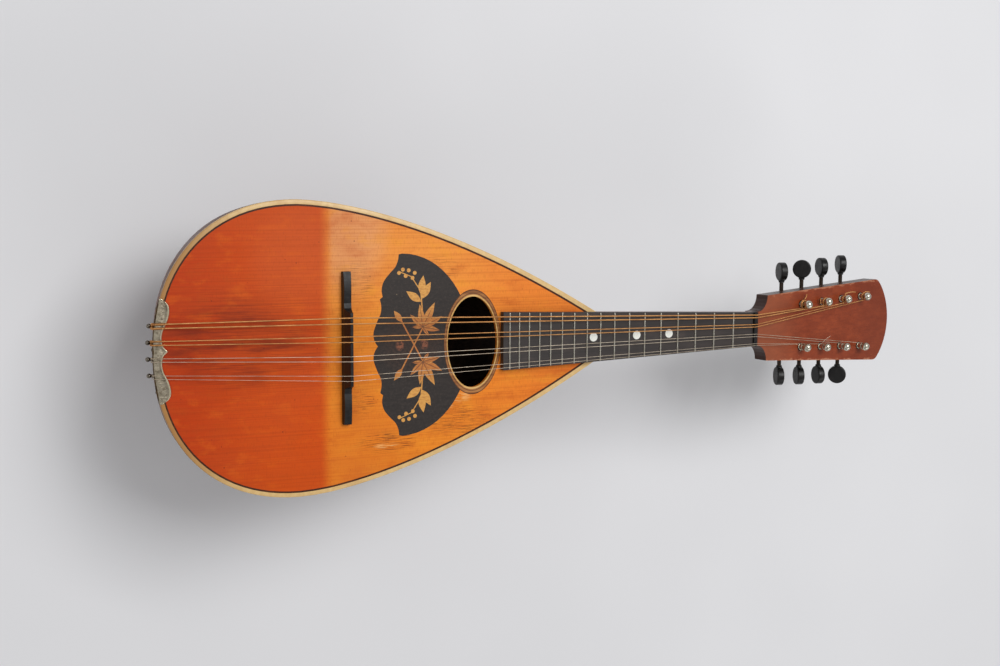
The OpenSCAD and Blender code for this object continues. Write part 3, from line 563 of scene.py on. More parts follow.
def plain_wood(name, dark, mid, light, coat=0.15):
    """A figured wood whose grain runs along X."""
    look = Look(name, Coat_Weight=coat, Coat_Roughness=0.25, Specular_IOR_Level=0.25)
    grain = look.noise((0.012, 0.35, 0.35), 4, 0.6, 0.4)
    pores = look.noise((0.06, 2.45, 2.45), 2, 0.6)
    clouds = look.noise((0.02, 0.03, 0.03), 2, 0.5)
    look.ramp(grain, (0.32, dark), (0.5, mid), (0.68, light))
    look.stain(dark, pores, 0.56, 0.68, 0.5)
    look.stain(dark, clouds, 0.45, 0.7, 0.35)
    height = look.calc("SUBTRACT", look.both(grain, 0.4), look.span(pores, 0.55, 0.7, 0, 0.6))
    return look.done((clouds, 0.3, 0.7, 0.35, 0.5), height)


def binding_wood():
    """Yellowed pale edging, darker round the tail."""
    look = Look("binding_wood", Coat_Weight=0.15, Coat_Roughness=0.3)
    grain = look.noise((0.25, 0.25, 0.9), 3, 0.6)
    smudge = look.noise((0.04, 0.04, 0.04), 4, 0.6)
    look.ramp(grain, (0.3, (206, 168, 108)), (0.7, (222, 188, 128)))
    look.stain((184, 138, 80), smudge, 0.5, 0.75, 0.5)
    look.lay((160, 108, 50), look.span(look.axis("X"), -112, -55, 0.85, 0))
    return look.done((smudge, 0.3, 0.7, 0.34, 0.48), grain, 0.02)


def guard_wood():
    """Black-stained wood with dust in its pores and a brown, handled middle."""
    look = Look("pickguard_wood", Roughness=0.45, Specular_IOR_Level=0.35)
    grain = look.noise((0.06, 0.4, 0), 3, 0.6)
    dust = look.noise((0.5, 0.55, 0), 5, 0.8)
    look.ramp(grain, (0.3, (36, 29, 26)), (0.7, (46, 38, 34)))
    look.stain((80, 69, 62), dust, 0.5, 0.75, 0.5)
    look.stain((30, 25, 23), dust, 0.5, 0.32, 0.6)
    handled = look.mix(look.span(dust, 0.4, 0.6), (40, 29, 24), (60, 42, 33))
    look.lay(handled, look.patch(52, 0, 30, 24))
    fleck = look.span(look.spots((0.3, 0.3, 0)), 0.05, 0.12, 0.8, 0)
    look.lay((205, 180, 130), fleck, look.patch(38, 30, 9, 12))
    # two small faded flowers between the stems
    for x in (43.4, 61):
        petals = look.both(look.patch(x, 0, 3.6, 4.2), look.span(dust, 0.42, 0.55))
        look.lay((150, 88, 60), petals, 0.8)
    return look.done((dust, 0.3, 0.75, 0.4, 0.55), dust, 0.04)


def inlay_wood():
    """Golden leaves, browner toward the middle."""
    look = Look("inlay_wood", Coat_Weight=0.1, Coat_Roughness=0.25)
    grain = look.noise((0.4, 0.8, 0), 3, 0.6)
    outer = look.span(look.calc("ABSOLUTE", look.axis("Y")), 14, 34)
    look.tint = look.mix(outer, (182, 108, 40), (212, 152, 68))
    look.stain((158, 88, 36), grain, 0.45, 0.7, 0.55)
    look.stain((228, 174, 96), grain, 0.5, 0.28, 0.4)
    # dark veins that fan out from the foot of each lobed leaf
    along = look.calc("SUBTRACT", look.axis("X"), 60)
    across = look.calc("SUBTRACT", look.calc("ABSOLUTE", look.axis("Y")), 12)
    heading = look.calc("ARCTAN2", across, along)
    reach = look.calc("SQRT", look.calc("ADD", look.both(along, along), look.both(across, across)))
    vein = None
    for lobe in (-54, -12, 26, 62, 98, 136, 178):
        off = look.calc("ABSOLUTE", look.calc("SUBTRACT", heading, radians(lobe)))
        line = look.span(look.both(off, reach), 0.12, 0.4, 1, 0)
        vein = line if vein is None else look.calc("MAXIMUM", vein, line)
    vein = look.both(vein, look.span(reach, 9, 16, 1, 0))
    look.lay((72, 34, 18), vein, 0.75)
    return look.done((grain, 0.3, 0.7, 0.36, 0.48), grain, 0.03)


def fretboard_wood():
    """Worn dark brown wood with open pores."""
    look = Look("fretboard_wood", Coat_Weight=0.05)
    grain = look.noise((0.01, 0.7, 0.7), 4, 0.6)
    pores = look.noise((0.09, 3.0, 3.0), 2, 0.6)
    dust = look.noise((0.05, 0.09, 0.09), 3, 0.6)
    look.ramp(grain, (0.3, (32, 26, 24)), (0.7, (52, 43, 40)))
    look.stain((30, 25, 25), pores, 0.55, 0.68, 0.7)
    look.stain((78, 65, 59), dust, 0.5, 0.75, 0.4)
    return look.done((dust, 0.3, 0.7, 0.42, 0.56), pores, 0.05)


def head_wood():
    """Red-brown varnish on the head, paler near the nut and darker toward the end, with painted shade
    on its sides.
    """
    look = Look("head_wood", Coat_Weight=0.08, Coat_Roughness=0.3, Specular_IOR_Level=0.3)
    grain = look.noise((0.03, 0.55, 0.55), 4, 0.6, 0.3)
    figure = look.noise((0.07, 0.12, 0.12), 6, 0.7)
    pores = look.noise((0.16, 3.0, 3.0), 2, 0.6)
    look.ramp(figure, (0.3, (122, 49, 22)), (0.52, (137, 58, 28)), (0.74, (154, 69, 34)))
    look.stain((112, 44, 24), grain, 0.45, 0.7, 0.4)
    look.stain((80, 30, 18), pores, 0.56, 0.68, 0.4)
    along = look.axis("X")
    look.stain((158, 96, 66), along, SHOULDER_X + 44, SHOULDER_X, 0.4)
    look.stain((104, 42, 24), along, SHOULDER_X + 92, SHOULDER_X + 124, 0.35)
    # varnish rubbed off along the straight sides, which run outward toward the end
    run = look.calc("SUBTRACT", along, SHOULDER_X)
    side = look.calc("ADD", look.both(run, HEAD_FLARE), SHOULDER_HALF)
    inside = look.calc("SUBTRACT", side, look.calc("ABSOLUTE", look.axis("Y")))
    worn = look.span(look.noise((0.12, 0.3, 0.3), 4, 0.7), 0.3, 0.7, 1.6, -1.2)
    ragged = look.calc("ADD", inside, worn)
    look.lay((190, 130, 98), look.span(ragged, 0.3, 1.4, 0.6, 0))
    nicks = look.span(look.spots((0.2, 0.3, 0.3)), 0.04, 0.09, 0.8, 0)
    look.lay((214, 160, 116), nicks, look.span(inside, 0.5, 7, 1, 0))
    # painted shade: the sides of the head, which face away from +Z, are darkened against its face
    facing = look.node("SeparateXYZ", {0: look.node("NewGeometry", {}, "Normal")}, "Z")
    look.stain((34, 17, 12), facing, 0.8, 0.4, 0.92)
    return look.done((figure, 0.3, 0.7, 0.3, 0.42), grain, 0.05)


def metal(name, base, stain, rough=(0.2, 0.4), scale=0.25, stained=0.6, depth=0.02):
    """A metal with stained patches and fine wear."""
    look = Look(name, Metallic=1.0)
    patches = look.noise((scale, scale, scale), 4, 0.65)
    fine = look.noise((2.2, 2.2, 2.2), 3, 0.6)
    look.tint = look.mix(look.span(patches, 0.42, 0.66, 0, stained), base, stain)
    look.stain(stain, fine, 0.55, 0.75, 0.35)
    return look.done((patches, 0.3, 0.7, rough[0], rough[1]), fine, depth)


def string_metal(name, base, stain, pitch, depth):
    """A string: wound ones have a fine ridge round them at each pitch."""
    look = Look(name, Metallic=1.0)
    run = look.node("SeparateXYZ", {0: look.where(source="UV")}, "Y")
    ridge = look.calc("ABSOLUTE", look.calc("SINE", look.both(run, pi / pitch)))
    patches = look.noise((0.08, 0.6, 0.6), 3, 0.6)
    look.tint = look.mix(look.span(patches, 0.45, 0.7, 0, 0.6), base, stain)
    look.lay(stain, look.span(ridge, 0.0, 0.5, 0.5, 0))
    return look.done((patches, 0.3, 0.7, 0.4, 0.55), ridge, depth)


def black_wood(name, shine=0.36):
    """Stained black, rubbed grey in places; shine is its lowest roughness."""
    look = Look(name, Specular_IOR_Level=0.3)
    wear = look.noise((0.25, 0.25, 0.25), 4, 0.65)
    fine = look.noise((0.3, 2.5, 2.5), 3, 0.6)
    look.ramp(wear, (0.4, (15, 14, 14)), (0.62, (25, 23, 23)), (0.8, (44, 41, 39)))
    return look.done((wear, 0.3, 0.7, shine, shine + 0.16), fine, 0.03)


def pearl():
    """White shell with a soft swirl."""
    look = Look("pearl", Coat_Weight=0.6, Coat_Roughness=0.08)
    swirl = look.noise((0.5, 0.35, 0.4), 4, 0.6, 1.2)
    shades = (0.3, (214, 216, 208)), (0.5, (240, 240, 232)), (0.7, (226, 222, 212))
    look.ramp(swirl, *shades)
    return look.done((swirl, 0.3, 0.7, 0.2, 0.32), swirl, 0.02)


def floor_paper():
    """Pale paper, painted lighter far from the object where the lamps light it less, so that it meets
    the background unseen.
    """
    look = Look("floor_paper", Roughness=0.9, Specular_IOR_Level=0.2)
    soft = look.noise((0.004, 0.004, 0.004), 2)
    squares = [look.both(v, v) for v in (look.axis("X"), look.axis("Y"))]
    away = look.calc("SQRT", look.calc("ADD", squares[0], squares[1]))
    look.ramp(soft, (0.3, (222, 222, 224)), (0.7, (226, 226, 228)))
    # painted light: lighter from 1.5 m to 5 m away, against the lamps' falloff
    look.stain((248, 248, 250), away, 1500, 5000, 1)
    return look.done()


SPRUCE = spruce()
BINDING = binding_wood()
BLACK_LINE = plain_wood("dark_line_wood", (50, 22, 8), (68, 32, 10), (88, 44, 16), coat=0.0)
GUARD = guard_wood()
INLAY = inlay_wood()
RING_DARK = plain_wood("ring_dark", (60, 34, 18), (86, 50, 26), (112, 68, 36))
RING_BROWN = plain_wood("ring_brown", (118, 70, 34), (152, 98, 52), (182, 126, 72))
RING_CREAM = plain_wood("ring_cream", (186, 138, 72), (214, 168, 98), (232, 192, 126))
# painted shade: the inside wood is darkened so that the sound hole reads dark
INSIDE_WOOD_SHADED = plain_wood("inside_wood_painted_shade", (44, 31, 21), (62, 44, 30), (80, 58, 40), coat=0.0)
RIB_LINE = plain_wood("rib_line_wood", (140, 100, 58), (168, 126, 76), (190, 148, 94))
RIB_A = plain_wood("rib_walnut", (66, 28, 15), (104, 48, 24), (142, 72, 36), coat=0.06)
RIB_B = plain_wood("rib_rosewood", (50, 20, 13), (84, 36, 20), (118, 56, 30), coat=0.06)
NECK = plain_wood("neck_wood", (92, 40, 22), (126, 58, 34), (150, 76, 46), coat=0.35)
CLASP = plain_wood("clasp_wood", (74, 32, 18), (108, 52, 28), (134, 70, 40), coat=0.2)
FRETBOARD = fretboard_wood()
HEAD_WOOD = head_wood()
EBONY = black_wood("ebony_wood")
HORN = black_wood("button_horn", 0.3)
PEARL = pearl()
FRET_METAL = metal("fret_metal", (206, 202, 190), (140, 132, 116), (0.22, 0.36))
TAIL_METAL = metal("tail_metal", (172, 162, 142), (104, 94, 78), (0.3, 0.5), 0.35, 0.85, 0.08)
# painted highlight: a lighter copy of the tail metal for the raised rim
RIM_METAL_HIGHLIT = metal("tail_rim_metal_painted_highlight", (214, 204, 176), (160, 146, 112), (0.26, 0.4), 0.3, 0.5)
# painted shade: a darker copy of the tail metal for the bend and the skirt
FOLD_METAL_SHADED = metal("tail_fold_metal_painted_shade", (92, 72, 48), (44, 33, 22), (0.4, 0.55), 0.3, 0.7)
DARK_METAL = metal("dark_metal", (108, 100, 90), (48, 42, 36), (0.22, 0.4), 0.3, 0.7)
KNOB_METAL = metal("knob_metal", (136, 128, 116), (66, 58, 50), (0.14, 0.26), 0.3, 0.7)
PLATE_METAL = metal("plate_metal", (186, 180, 164), (120, 110, 90), (0.28, 0.45), 0.08, 0.6)
POST_METAL = metal("post_metal", (214, 208, 192), (140, 130, 108), (0.16, 0.3), 0.3, 0.5)
SHAFT_METAL = metal("shaft_metal", (70, 60, 52), (34, 28, 24), (0.3, 0.5), 0.3, 0.7)
BRONZE = string_metal("bronze_winding", (214, 160, 102), (164, 110, 68), 0.22, 0.03)
STEEL = string_metal("steel_wire", (212, 198, 178), (156, 140, 120), 40, 0.005)


# ---- the body ----

def rim_strip(name, outer, inner, section, look, slot):
    """A strip of the edging between two shares of its width. A section's points are each a
    share of the strip inward and a height."""
    shape = Shape()
    rings = []
    for s in rim_stations():
        ring = []
        for inward, height in section:
            p = edge(s).lerp(board_edge(s), outer + inward * (inner - outer))
            ring.append((p.x, p.y, top_z(p.x) + height))
        rings.append(ring)
    shape.loft(rings)
    shape.stand_in(name, look, slot)


def edging():
    """The binding, with a rounded outer edge, and the dark line inside it."""
    soft = [(0, -TOP_T), (0, -0.9), (0.03, -0.45), (0.1, -0.15), (0.22, 0), (1, 0), (1, -TOP_T)]
    flat = [(0, -TOP_T), (0, 0.01), (1, 0.01), (1, -TOP_T)]
    rim_strip("binding", 0, BINDING_SHARE, soft, BINDING, "binding_wood")
    rim_strip("purfling", BINDING_SHARE, 1.02, flat, BLACK_LINE, "black_line")


def rosette():
    """Rings of different woods, each a share of the ring's width, let in flush."""
    low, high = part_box("rosette")
    centre = BODY.inverted() @ ((low + high) / 2)
    outer = (BODY.inverted() @ high) - centre
    bands = [
        ("rosette_edge_line", 0.86, 1.0, RING_DARK), ("rosette_outer_band", 0.5, 0.86, RING_BROWN),
        ("rosette_middle_line", 0.4, 0.5, RING_DARK), ("rosette_inner_band", 0.24, 0.4, RING_BROWN),
        ("rosette_inner_line", 0.0, 0.24, RING_CREAM),
    ]
    for name, start, end, look in bands:
        rings = []
        for k in range(96):
            a = tau * k / 96
            ring = []
            for part, height in ((start, -0.9), (start, 0.04), (end, 0.04), (end, -0.9)):
                x = outer.x - RING_W * (1 - part)
                y = outer.y - (RING_W + RING_SWELL) * (1 - part)
                ring.append((centre.x + x * cos(a), centre.y + y * sin(a), height))
            rings.append(ring)
        shape = Shape()
        shape.loft(rings + rings[:1], caps=False)
        obj = shape.make(name, look, "rosette_wood")
        if start == 0:
            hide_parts("rosette")


def bowl_stations():
    """Places along the ribs, closer together toward the tail."""
    rear = [WIDEST_X - REAR_LEN * polar(a)[1] ** (2 / REAR_POWER) for a in range(86, 0, -4)]
    front = [WIDEST_X + (HEEL_X - WIDEST_X) * k / 28 for k in range(29)]
    return [CLASP_X] + [x for x in rear if x > CLASP_X + 0.5] + front


def rib_point(x, start, end, m, inset):
    """A point across a rib, nearly half way from a flat strip to the bowl's curve."""
    flat = bowl(x, start, inset).lerp(bowl(x, end, inset), m)
    return flat.lerp(bowl(x, start + m * (end - start), inset), RIB_CAMBER)


def rib(name, index, look):
    """One rib, with its inner face in the inside wood, darkened as painted shade."""
    step = 180 / RIB_COUNT
    seam = 0.16
    start, end = index * step + seam, (index + 1) * step - seam
    shape = Shape()
    across = [k / 6 for k in range(7)]
    outer = [[rib_point(x, start, end, m, 0) for m in across] for x in bowl_stations()]
    inner = [[rib_point(x, start, end, m, RIB_T) for m in reversed(across)] for x in bowl_stations()]
    shape.loft([a + b for a, b in zip(outer, inner)])
    per_station = len(across) * 2
    for k in range(len(shape.faces) - 2):
        shape.looks[k] = 1 if len(across) <= k % per_station < per_station - 1 else 0
    return shape.make(name, [look, INSIDE_WOOD_SHADED], "rib_wood")


def ribs():
    """Ribs of two woods in turn, and the pale lines let in at their seams."""
    middle = RIB_COUNT // 2
    for index in range(RIB_COUNT):
        pair = abs(index - middle)
        side = "" if pair == 0 else "_bass" if index < middle else "_treble"
        obj = rib(f"bowl_rib_{pair}{side}", index, RIB_A if pair % 2 == 0 else RIB_B)
        if pair == 0:
            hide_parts("bowl_rib_middle")
        elif side == "_bass":
            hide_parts(f"bowl_ribs_pair_{pair}")
    shape = Shape()
    for index in range(1, RIB_COUNT):
        angle = index * 180 / RIB_COUNT
        rings = []
        for x in bowl_stations():
            half = degrees(0.28 / max(20, BODY_HALF_W * share(x)))
            section = (-half, 0.05), (0, -0.03), (half, 0.05), (half, 0.8), (-half, 0.8)
            rings.append([bowl(x, angle + turn, inset) for turn, inset in section])
        shape.loft(rings)
    shape.make("rib_lines", RIB_LINE, "rib_wood")


def end_clasp():
    """The band that covers the ribs' ends at the tail."""
    shape = Shape()
    places = [TAIL_X + v for v in (0.02, 0.15, 0.4, 0.8, 1.4, 2.2)] + [CLASP_X]
    shape.loft([[bowl(x, a) for a in range(0, 181, 6)] for x in places])
    shape.stand_in("end_clasp", CLASP, "rib_wood")


# ---- neck and fretboard ----

def board_half(x):
    """Half the fretboard's width at a place along it."""
    return NUT_HALF + BOARD_TAPER * (SCALE_LEN - x)


def neck():
    """The neck's round back, deepening into the heel."""
    heel = BODY_DEPTH * share(HEEL_X)
    places = [HEEL_X + 36 * (k / 16) ** 1.6 for k in range(17)] + [245, 260, 280, 300, 318, SCALE_LEN]
    rings = []
    for x in places + [SCALE_LEN + 1]:
        half = board_half(min(x, SCALE_LEN)) - 0.05
        depth = NECK_DEPTH + (heel - NECK_DEPTH) * exp((HEEL_X - x) / HEEL_RUN)
        ring = [Vector((x, half, 0))]
        for a in range(0, 181, 9):
            c, s = polar(a)
            ring.append(Vector((x, half * c, -TOP_T - (depth - TOP_T) * s)))
        ring.append(Vector((x, -half, 0)))
        if x > SCALE_LEN:
            for p in ring:
                p.x = HEAD_X + (p.z - HEAD_Z) * tan(HEAD_TILT)
        rings.append(ring)
    shape = Shape()
    shape.loft(rings)
    shape.stand_in("neck", NECK, "neck_wood", sharp=50)


def frets():
    """Rounded fret wire with filed ends."""
    shape = Shape()
    for n in range(1, FRET_COUNT + 1):
        x = SCALE_LEN * 2 ** (-n / 12)
        half = board_half(x) - 0.3
        rings = []
        for y, size in ((-half, 0.45), (-half + 0.25, 0.85), (-half + 0.8, 1), (half - 0.8, 1),
                        (half - 0.25, 0.85), (half, 0.45)):
            ring = [(x - FRET_HALF_W, y, BOARD_T)]
            for a in range(180, -1, -20):
                c, s = polar(a)
                ring.append((x + FRET_HALF_W * c, y, BOARD_T + 0.1 + FRET_H * size * s))
            ring.append((x + FRET_HALF_W, y, BOARD_T))
            rings.append(ring)
        shape.loft(rings)
    shape.stand_in("frets", FRET_METAL, "fret_metal")


# ---- machine heads ----

def posts():
    """String posts with a domed cap, and a cog and screw at the back."""
    profile = [(0, -18.2), (1.9, -18.2), (2.0, -18.0), (2.0, -17.2), (2.65, -17.2), (2.65, 0.5),
               (2.5, 0.7), (2.2, 0.75), (2.12, 3.4), (2.2, 6.0), (3.0, 6.15), (3.3, 6.45),
               (3.35, 7.1), (3.3, 7.8), (3.05, 8.6), (2.55, 9.35), (1.85, 9.95), (1.0, 10.35),
               (0, 10.5)]
    for k in POSTS:
        shape = Shape()
        place = at(*post_place(k))
        shape.lathe(profile, place, 40)
        cog(shape, place)
        shape.stand_in(f"tuner_post_{k}", POST_METAL, "post_metal", f"post_{k}", HEAD)


def cog(shape, place):
    """A cog with chamfered teeth, level with the worm."""
    root, tip, half_t = 3.75, 4.65, 1.2
    rings = []
    for height, pull in ((-half_t, 0.25), (-half_t + 0.25, 0), (half_t - 0.25, 0), (half_t, 0.25)):
        ring = []
        for tooth in range(COG_TEETH):
            for side, radius, spread in ((-1, root, 7), (-1, tip, 3.4), (1, tip, 3.4), (1, root, 7)):
                c, s = polar(360 * tooth / COG_TEETH + side * spread)
                r = radius - pull
                ring.append(place @ Vector((r * c, r * s, height - SHAFT_DEPTH)))
        rings.append(ring)
    shape.loft(rings)


def shaft_frame(k):
    """The shaft's own frame: its origin under post k, +Y outward to the button."""
    spot = post_place(k)
    side = 1 if spot.y > 0 else -1
    under = at(spot.x - SHAFT_OFFSET, spot.y, -SHAFT_DEPTH)
    return under @ Matrix.Diagonal((1, side, 1, 1))


def button_reach(k):
    """Distance from post k's axis to its button's centre."""
    low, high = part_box(f"tuner_button_{k}")
    return max(abs(low.y), abs(high.y)) / MM - BUTTON_R - abs(post_place(k).y)


def worms():
    """Shafts with a screw thread that turns the cog."""
    lead, thread_r, root_r, turns = tau * COG_PITCH_R / COG_TEETH, 2.5, 1.5, 2.5
    for k in POSTS:
        shape = Shape()
        place = shaft_frame(k)
        reach = button_reach(k) - 2
        along = place @ turned(-90, "X")
        shape.lathe([(0, -6.2), (1.3, -6.2), (SHAFT_R, -5.9), (SHAFT_R, reach)], along, 24)
        rings = []
        steps = int(turns * 30)
        for j in range(steps + 1):
            a = tau * (turns * (j / steps - 0.5) - 0.5)
            y = lead * (a / tau + 0.5)
            c, s = cos(a), -sin(a)
            fade = min(1, 4 * j / steps, 4 * (1 - j / steps))
            tip = root_r + (thread_r - root_r) * fade
            rings.append([place @ Vector(p) for p in (
                (root_r * c, y - 0.44, root_r * s), (tip * c, y - 0.25, tip * s),
                (tip * c, y + 0.25, tip * s), (root_r * c, y + 0.44, root_r * s))])
        shape.loft(rings)
        shape.stand_in(f"tuner_worm_{k}", SHAFT_METAL, "shaft_metal", f"shaft_{k}", HEAD)


def buttons():
    """Thick discs with a rounded rim and a turned collar."""
    half_t = BUTTON_T / 2
    disc = [(0, -half_t), (2.5, 0.0401 - half_t), (4.5, 0.0105 - half_t)]
    for centre, start in ((-half_t + BUTTON_ROUND, -90), (half_t - BUTTON_ROUND, 0)):
        for a in range(start, start + 91, 15):
            c, s = polar(a)
            disc.append((BUTTON_R - BUTTON_ROUND + BUTTON_ROUND * c, centre + BUTTON_ROUND * s))
    disc += [(4.5, half_t), (2.5, half_t), (0, half_t)]
    collar = [(1.62, 3.9), (2.3, 3.9), (2.6, 5.2), (2.55, 7.2), (2.2, 8.1), (2.35, 8.5), (2.0, 8.7),
              (1.62, 8.7)]
    for k in POSTS:
        shape = Shape()
        place = shaft_frame(k) @ at(0, button_reach(k), 0) @ turned(BUTTON_REST[k - 1], "Y")
        shape.lathe(disc, place, 48)
        shape.lathe(collar, place @ turned(90, "X"), 28)
        shape.stand_in(f"tuner_button_{k}", HORN, "button_black", f"shaft_{k}", HEAD, 50)


def plate_screws():
    """Screws with domed heads, whose slot is the gap between two halves."""
    profile = [(0, -5.5), (0.4, -5), (0.9, -4), (0.9, 0), (1.75, 0.02), (1.75, 0.4), (0, 0.4)]
    spread = POST_STEP / POST_PITCH
    shape = Shape()
    for side in (1, -1):
        for u, out in ((38.5, 0), (61, 6), (124.9, 0)):
            y = side * (POST_Y + spread * (u - FIRST_POST) + out)
            place = at(u, y, -HEAD_T - PLATE_T) @ turned(180, "X") @ turned(20 + 37 * u, "Z")
            for half in (1, -1):
                outline = []
                for a in range(-80, 81, 16):
                    c, s = polar(a)
                    outline.append((half * max(0.2, 1.8 * c), 1.8 * s))
                rings = [[place @ Vector((max(0.2, abs(x) * r) * half, y * r, h)) for x, y in outline]
                         for r, h in ((1, 0), (1, 0.35), (0.93, 0.7), (0.75, 0.92), (0.5, 1.0))]
                shape.loft(rings)
            shape.lathe(profile, place, 24)
    shape.stand_in("tuner_screws", PLATE_METAL, "plate_metal", place=HEAD, sharp=40)


# ---- tailpiece ----

def between(pairs, place):
    """The value at a place among (place, value) pairs in order."""
    for (a, low), (b, high) in zip(pairs, pairs[1:]):
        if place <= b:
            return low + (high - low) * max(0, place - a) / max(1e-6, b - a)
    return pairs[-1][1]


def skin_x(y, z=0):
    """The outer face of the tailpiece's skirt, which leans in under the edge."""
    return tail_edge_x(y) - METAL_T - 0.1 - SKIRT_LEAN * min(0, z)


def tail_row(y, front):
    """Points down the plate at one place across it: the top, the fold and the skirt."""
    edge_x = skin_x(y)
    front = max(front, edge_x + 1.2)
    start = Vector((front, y, top_z(front) + METAL_T))
    fold = Vector((edge_x, y, top_z(edge_x) + METAL_T))
    depth = between(SKIRT, abs(y - TAIL_SHIFT))
    foot = Vector((skin_x(y, -depth), y, -depth))
    top = [start.lerp(fold, m) for m in (0, 0.04, 0.09, 0.15, 0.24, 0.36, 0.5, 0.62, 0.74)]
    back = min(1.2, (start - fold).length * 0.25)
    bend = rounded([start.lerp(fold, 0.74), fold, fold.lerp(foot, 0.3)], back, 6)[1:-1]
    side = [fold.lerp(foot, m) for m in [0.16 + 0.084 * k for k in range(11)]]
    return top + bend + side


def tailpiece():
    """Pressed sheet with a raised rim and a hammered field; the rim is a lighter metal as a painted
    highlight, and the bend and skirt a darker one as painted shade.
    """
    lobes = curve([(x, y, 0) for x, y in TAIL_FRONT], 5)
    front = [(y, x) for x, y in TAIL_POINT] + [(p.y, p.x) for p in lobes]
    top_count, bend_count, steps = 9, 7, 160
    lift = [0.02, 0.3, 0.4, 0.22]
    rows = []
    for j in range(steps + 1):
        y = TAIL_SHIFT + TAIL_HALF * (2 * j / steps - 1)
        row = tail_row(y, between(front, abs(y - TAIL_SHIFT)))
        for k, p in enumerate(row):
            relief = noise.noise(p * 0.45) * 0.16 + noise.noise(p * 1.3) * 0.09
            if k < len(lift):
                p.z += lift[k]
            elif k < top_count - 1:
                p.z += relief
            elif top_count + bend_count < k < len(row) - 3:
                p.x -= relief * 0.5
            elif k in (len(row) - 3, len(row) - 2):
                p.x -= 0.22
        rows.append(row)
    shape = Shape()
    shape.loft(rows, closed=False, caps=False)
    count = len(rows[0]) - 1
    for k in range(len(shape.faces)):
        strip = k % count
        # the rim strips take the painted-highlight metal, the bend and skirt the painted-shade metal
        shape.looks[k] = 1 if strip < 3 else 2 if strip >= top_count else 0
    obj = shape.stand_in("tailpiece", [TAIL_METAL, RIM_METAL_HIGHLIT, FOLD_METAL_SHADED], "tail_metal", sharp=60)
    thick = obj.modifiers.new("sheet", "SOLIDIFY")
    thick.thickness = 0.7 * MM
    thick.offset = -1


def hook_y(course):
    """The place across the tailpiece of a course's hook."""
    return TAIL_SHIFT + HOOK_PITCH * (1.5 - course)


def hooks():
    """Four hooks with round knobs, standing out of the skirt."""
    profile = [(0, -0.6), (1.7, -0.6), (1.7, 0.1), (1.3, 0.3), (HOOK_R, 0.5), (0.8, 1.4),
               (HOOK_R, HOOK_LEN - 0.1)]
    for a in range(-50, 91, 10):
        c, s = polar(a)
        profile.append((KNOB_R * c, HOOK_LEN + KNOB_R * (0.8 + s)))
    shape = Shape()
    for course in range(4):
        y = hook_y(course)
        place = at(skin_x(y, HOOK_Z), y, HOOK_Z) @ turned(-90, "Y")
        shape.lathe(profile, place, 28)
    for k in range(len(shape.faces)):
        centre = sum((shape.points[v] for v in shape.faces[k]), Vector()) / len(shape.faces[k])
        shape.looks[k] = 1 if centre.x < skin_x(centre.y, HOOK_Z) - HOOK_LEN + 0.2 else 0
    shape.stand_in("tailpiece_hooks", [DARK_METAL, KNOB_METAL], "dark_metal", sharp=50)


def nails():
    """Domed pins that hold the skirt to the body."""
    profile = [(0, -7.8), (0.3, -7), (0.6, -6), (0.6, 0), (1.3, 0.05), (1.25, 0.4), (0.95, 0.75),
               (0.5, 0.95), (0, 1.02)]
    shape = Shape()
    for off, z in NAIL_PLACES:
        y = TAIL_SHIFT + off
        place = at(skin_x(y, z), y, z) @ turned(-90, "Y")
        shape.lathe(profile, place, 20)
    shape.stand_in("tailpiece_nails", DARK_METAL, "dark_metal", sharp=50)


# ---- strings ----

def string_finish(course):
    """A course's material and its slot in the record."""
    return (BRONZE, "bronze_string") if course < WOUND_COURSES else (STEEL, "steel_string")


def string_start(i):
    """The loop round the hook, the twist above it and the way up to the plate's edge."""
    r = STRING_R[i]
    hook = hook_y(i // 2)
    loop_x = skin_x(hook, HOOK_Z) - 0.7 - (i % 2) * 0.9
    loop_r = HOOK_R + r + 0.05
    edge_x = skin_x(TAIL_Y[i])
    loop = []
    for a in range(-100, 271, 18):
        c, s = polar(a)
        loop.append((loop_x + 0.25 * a / 270, hook + loop_r * s, HOOK_Z - loop_r * c))
    over = Vector((edge_x - r * 0.4 - 0.15, TAIL_Y[i], top_z(TAIL_X) + METAL_T + r + 0.2))
    below = Vector((edge_x - r - 0.3, TAIL_Y[i], top_z(TAIL_X) - 1.2))
    return loop, below, over


def spans():
    """The straight runs of the strings, from their hooks to their posts."""
    for course, node in enumerate(COURSES):
        shape = Shape()
        for i in (2 * course, 2 * course + 1):
            r = STRING_R[i]
            loop, below, over = string_start(i)
            bridge = Vector((BRIDGE_TOP[0], BRIDGE_Y[i], BRIDGE_TOP[1]))
            nut = Vector((NUT_TOP[0], NUT_Y[i], NUT_TOP[1]))
            meet = TO_HEAD @ winding(i)[0]
            route = rounded([loop[-1], below, over, bridge, nut, meet], 1.4)
            shape.tube(loop + route[1:], r, 12)
            wrap(shape, [loop[-1], below, over, over.lerp(bridge, 0.06)], r)
        look, slot = string_finish(course)
        obj = shape.make(node.replace("strings", "string_pair"), look, slot, sharp=60)
        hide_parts(node)


def wrap(shape, path, r):
    """The string's own end twisted round it between the loop and the plate."""
    path = rounded(path, 1.4)
    wire = max(0.1, r * 0.55)
    lengths = [0]
    for a, b in zip(path, path[1:]):
        lengths.append(lengths[-1] + (b - a).length)
    pitch = 2.6 * wire + 0.25
    steps = int(lengths[-1] / pitch * 10)
    points = []
    for j in range(steps + 1):
        run = lengths[-1] * j / steps
        k = min(max(1, next(n for n, v in enumerate(lengths) if v >= run - 1e-9)), len(path) - 1)
        m = (run - lengths[k - 1]) / max(1e-6, lengths[k] - lengths[k - 1])
        heading = (path[k] - path[k - 1]).normalized()
        side = heading.cross(Vector((0, 1, 0))).normalized()
        up = heading.cross(side)
        a = tau * run / pitch
        points.append(path[k - 1].lerp(path[k], m) + (r + wire) * (cos(a) * side + sin(a) * up))
    shape.tube(points, wire, 6)


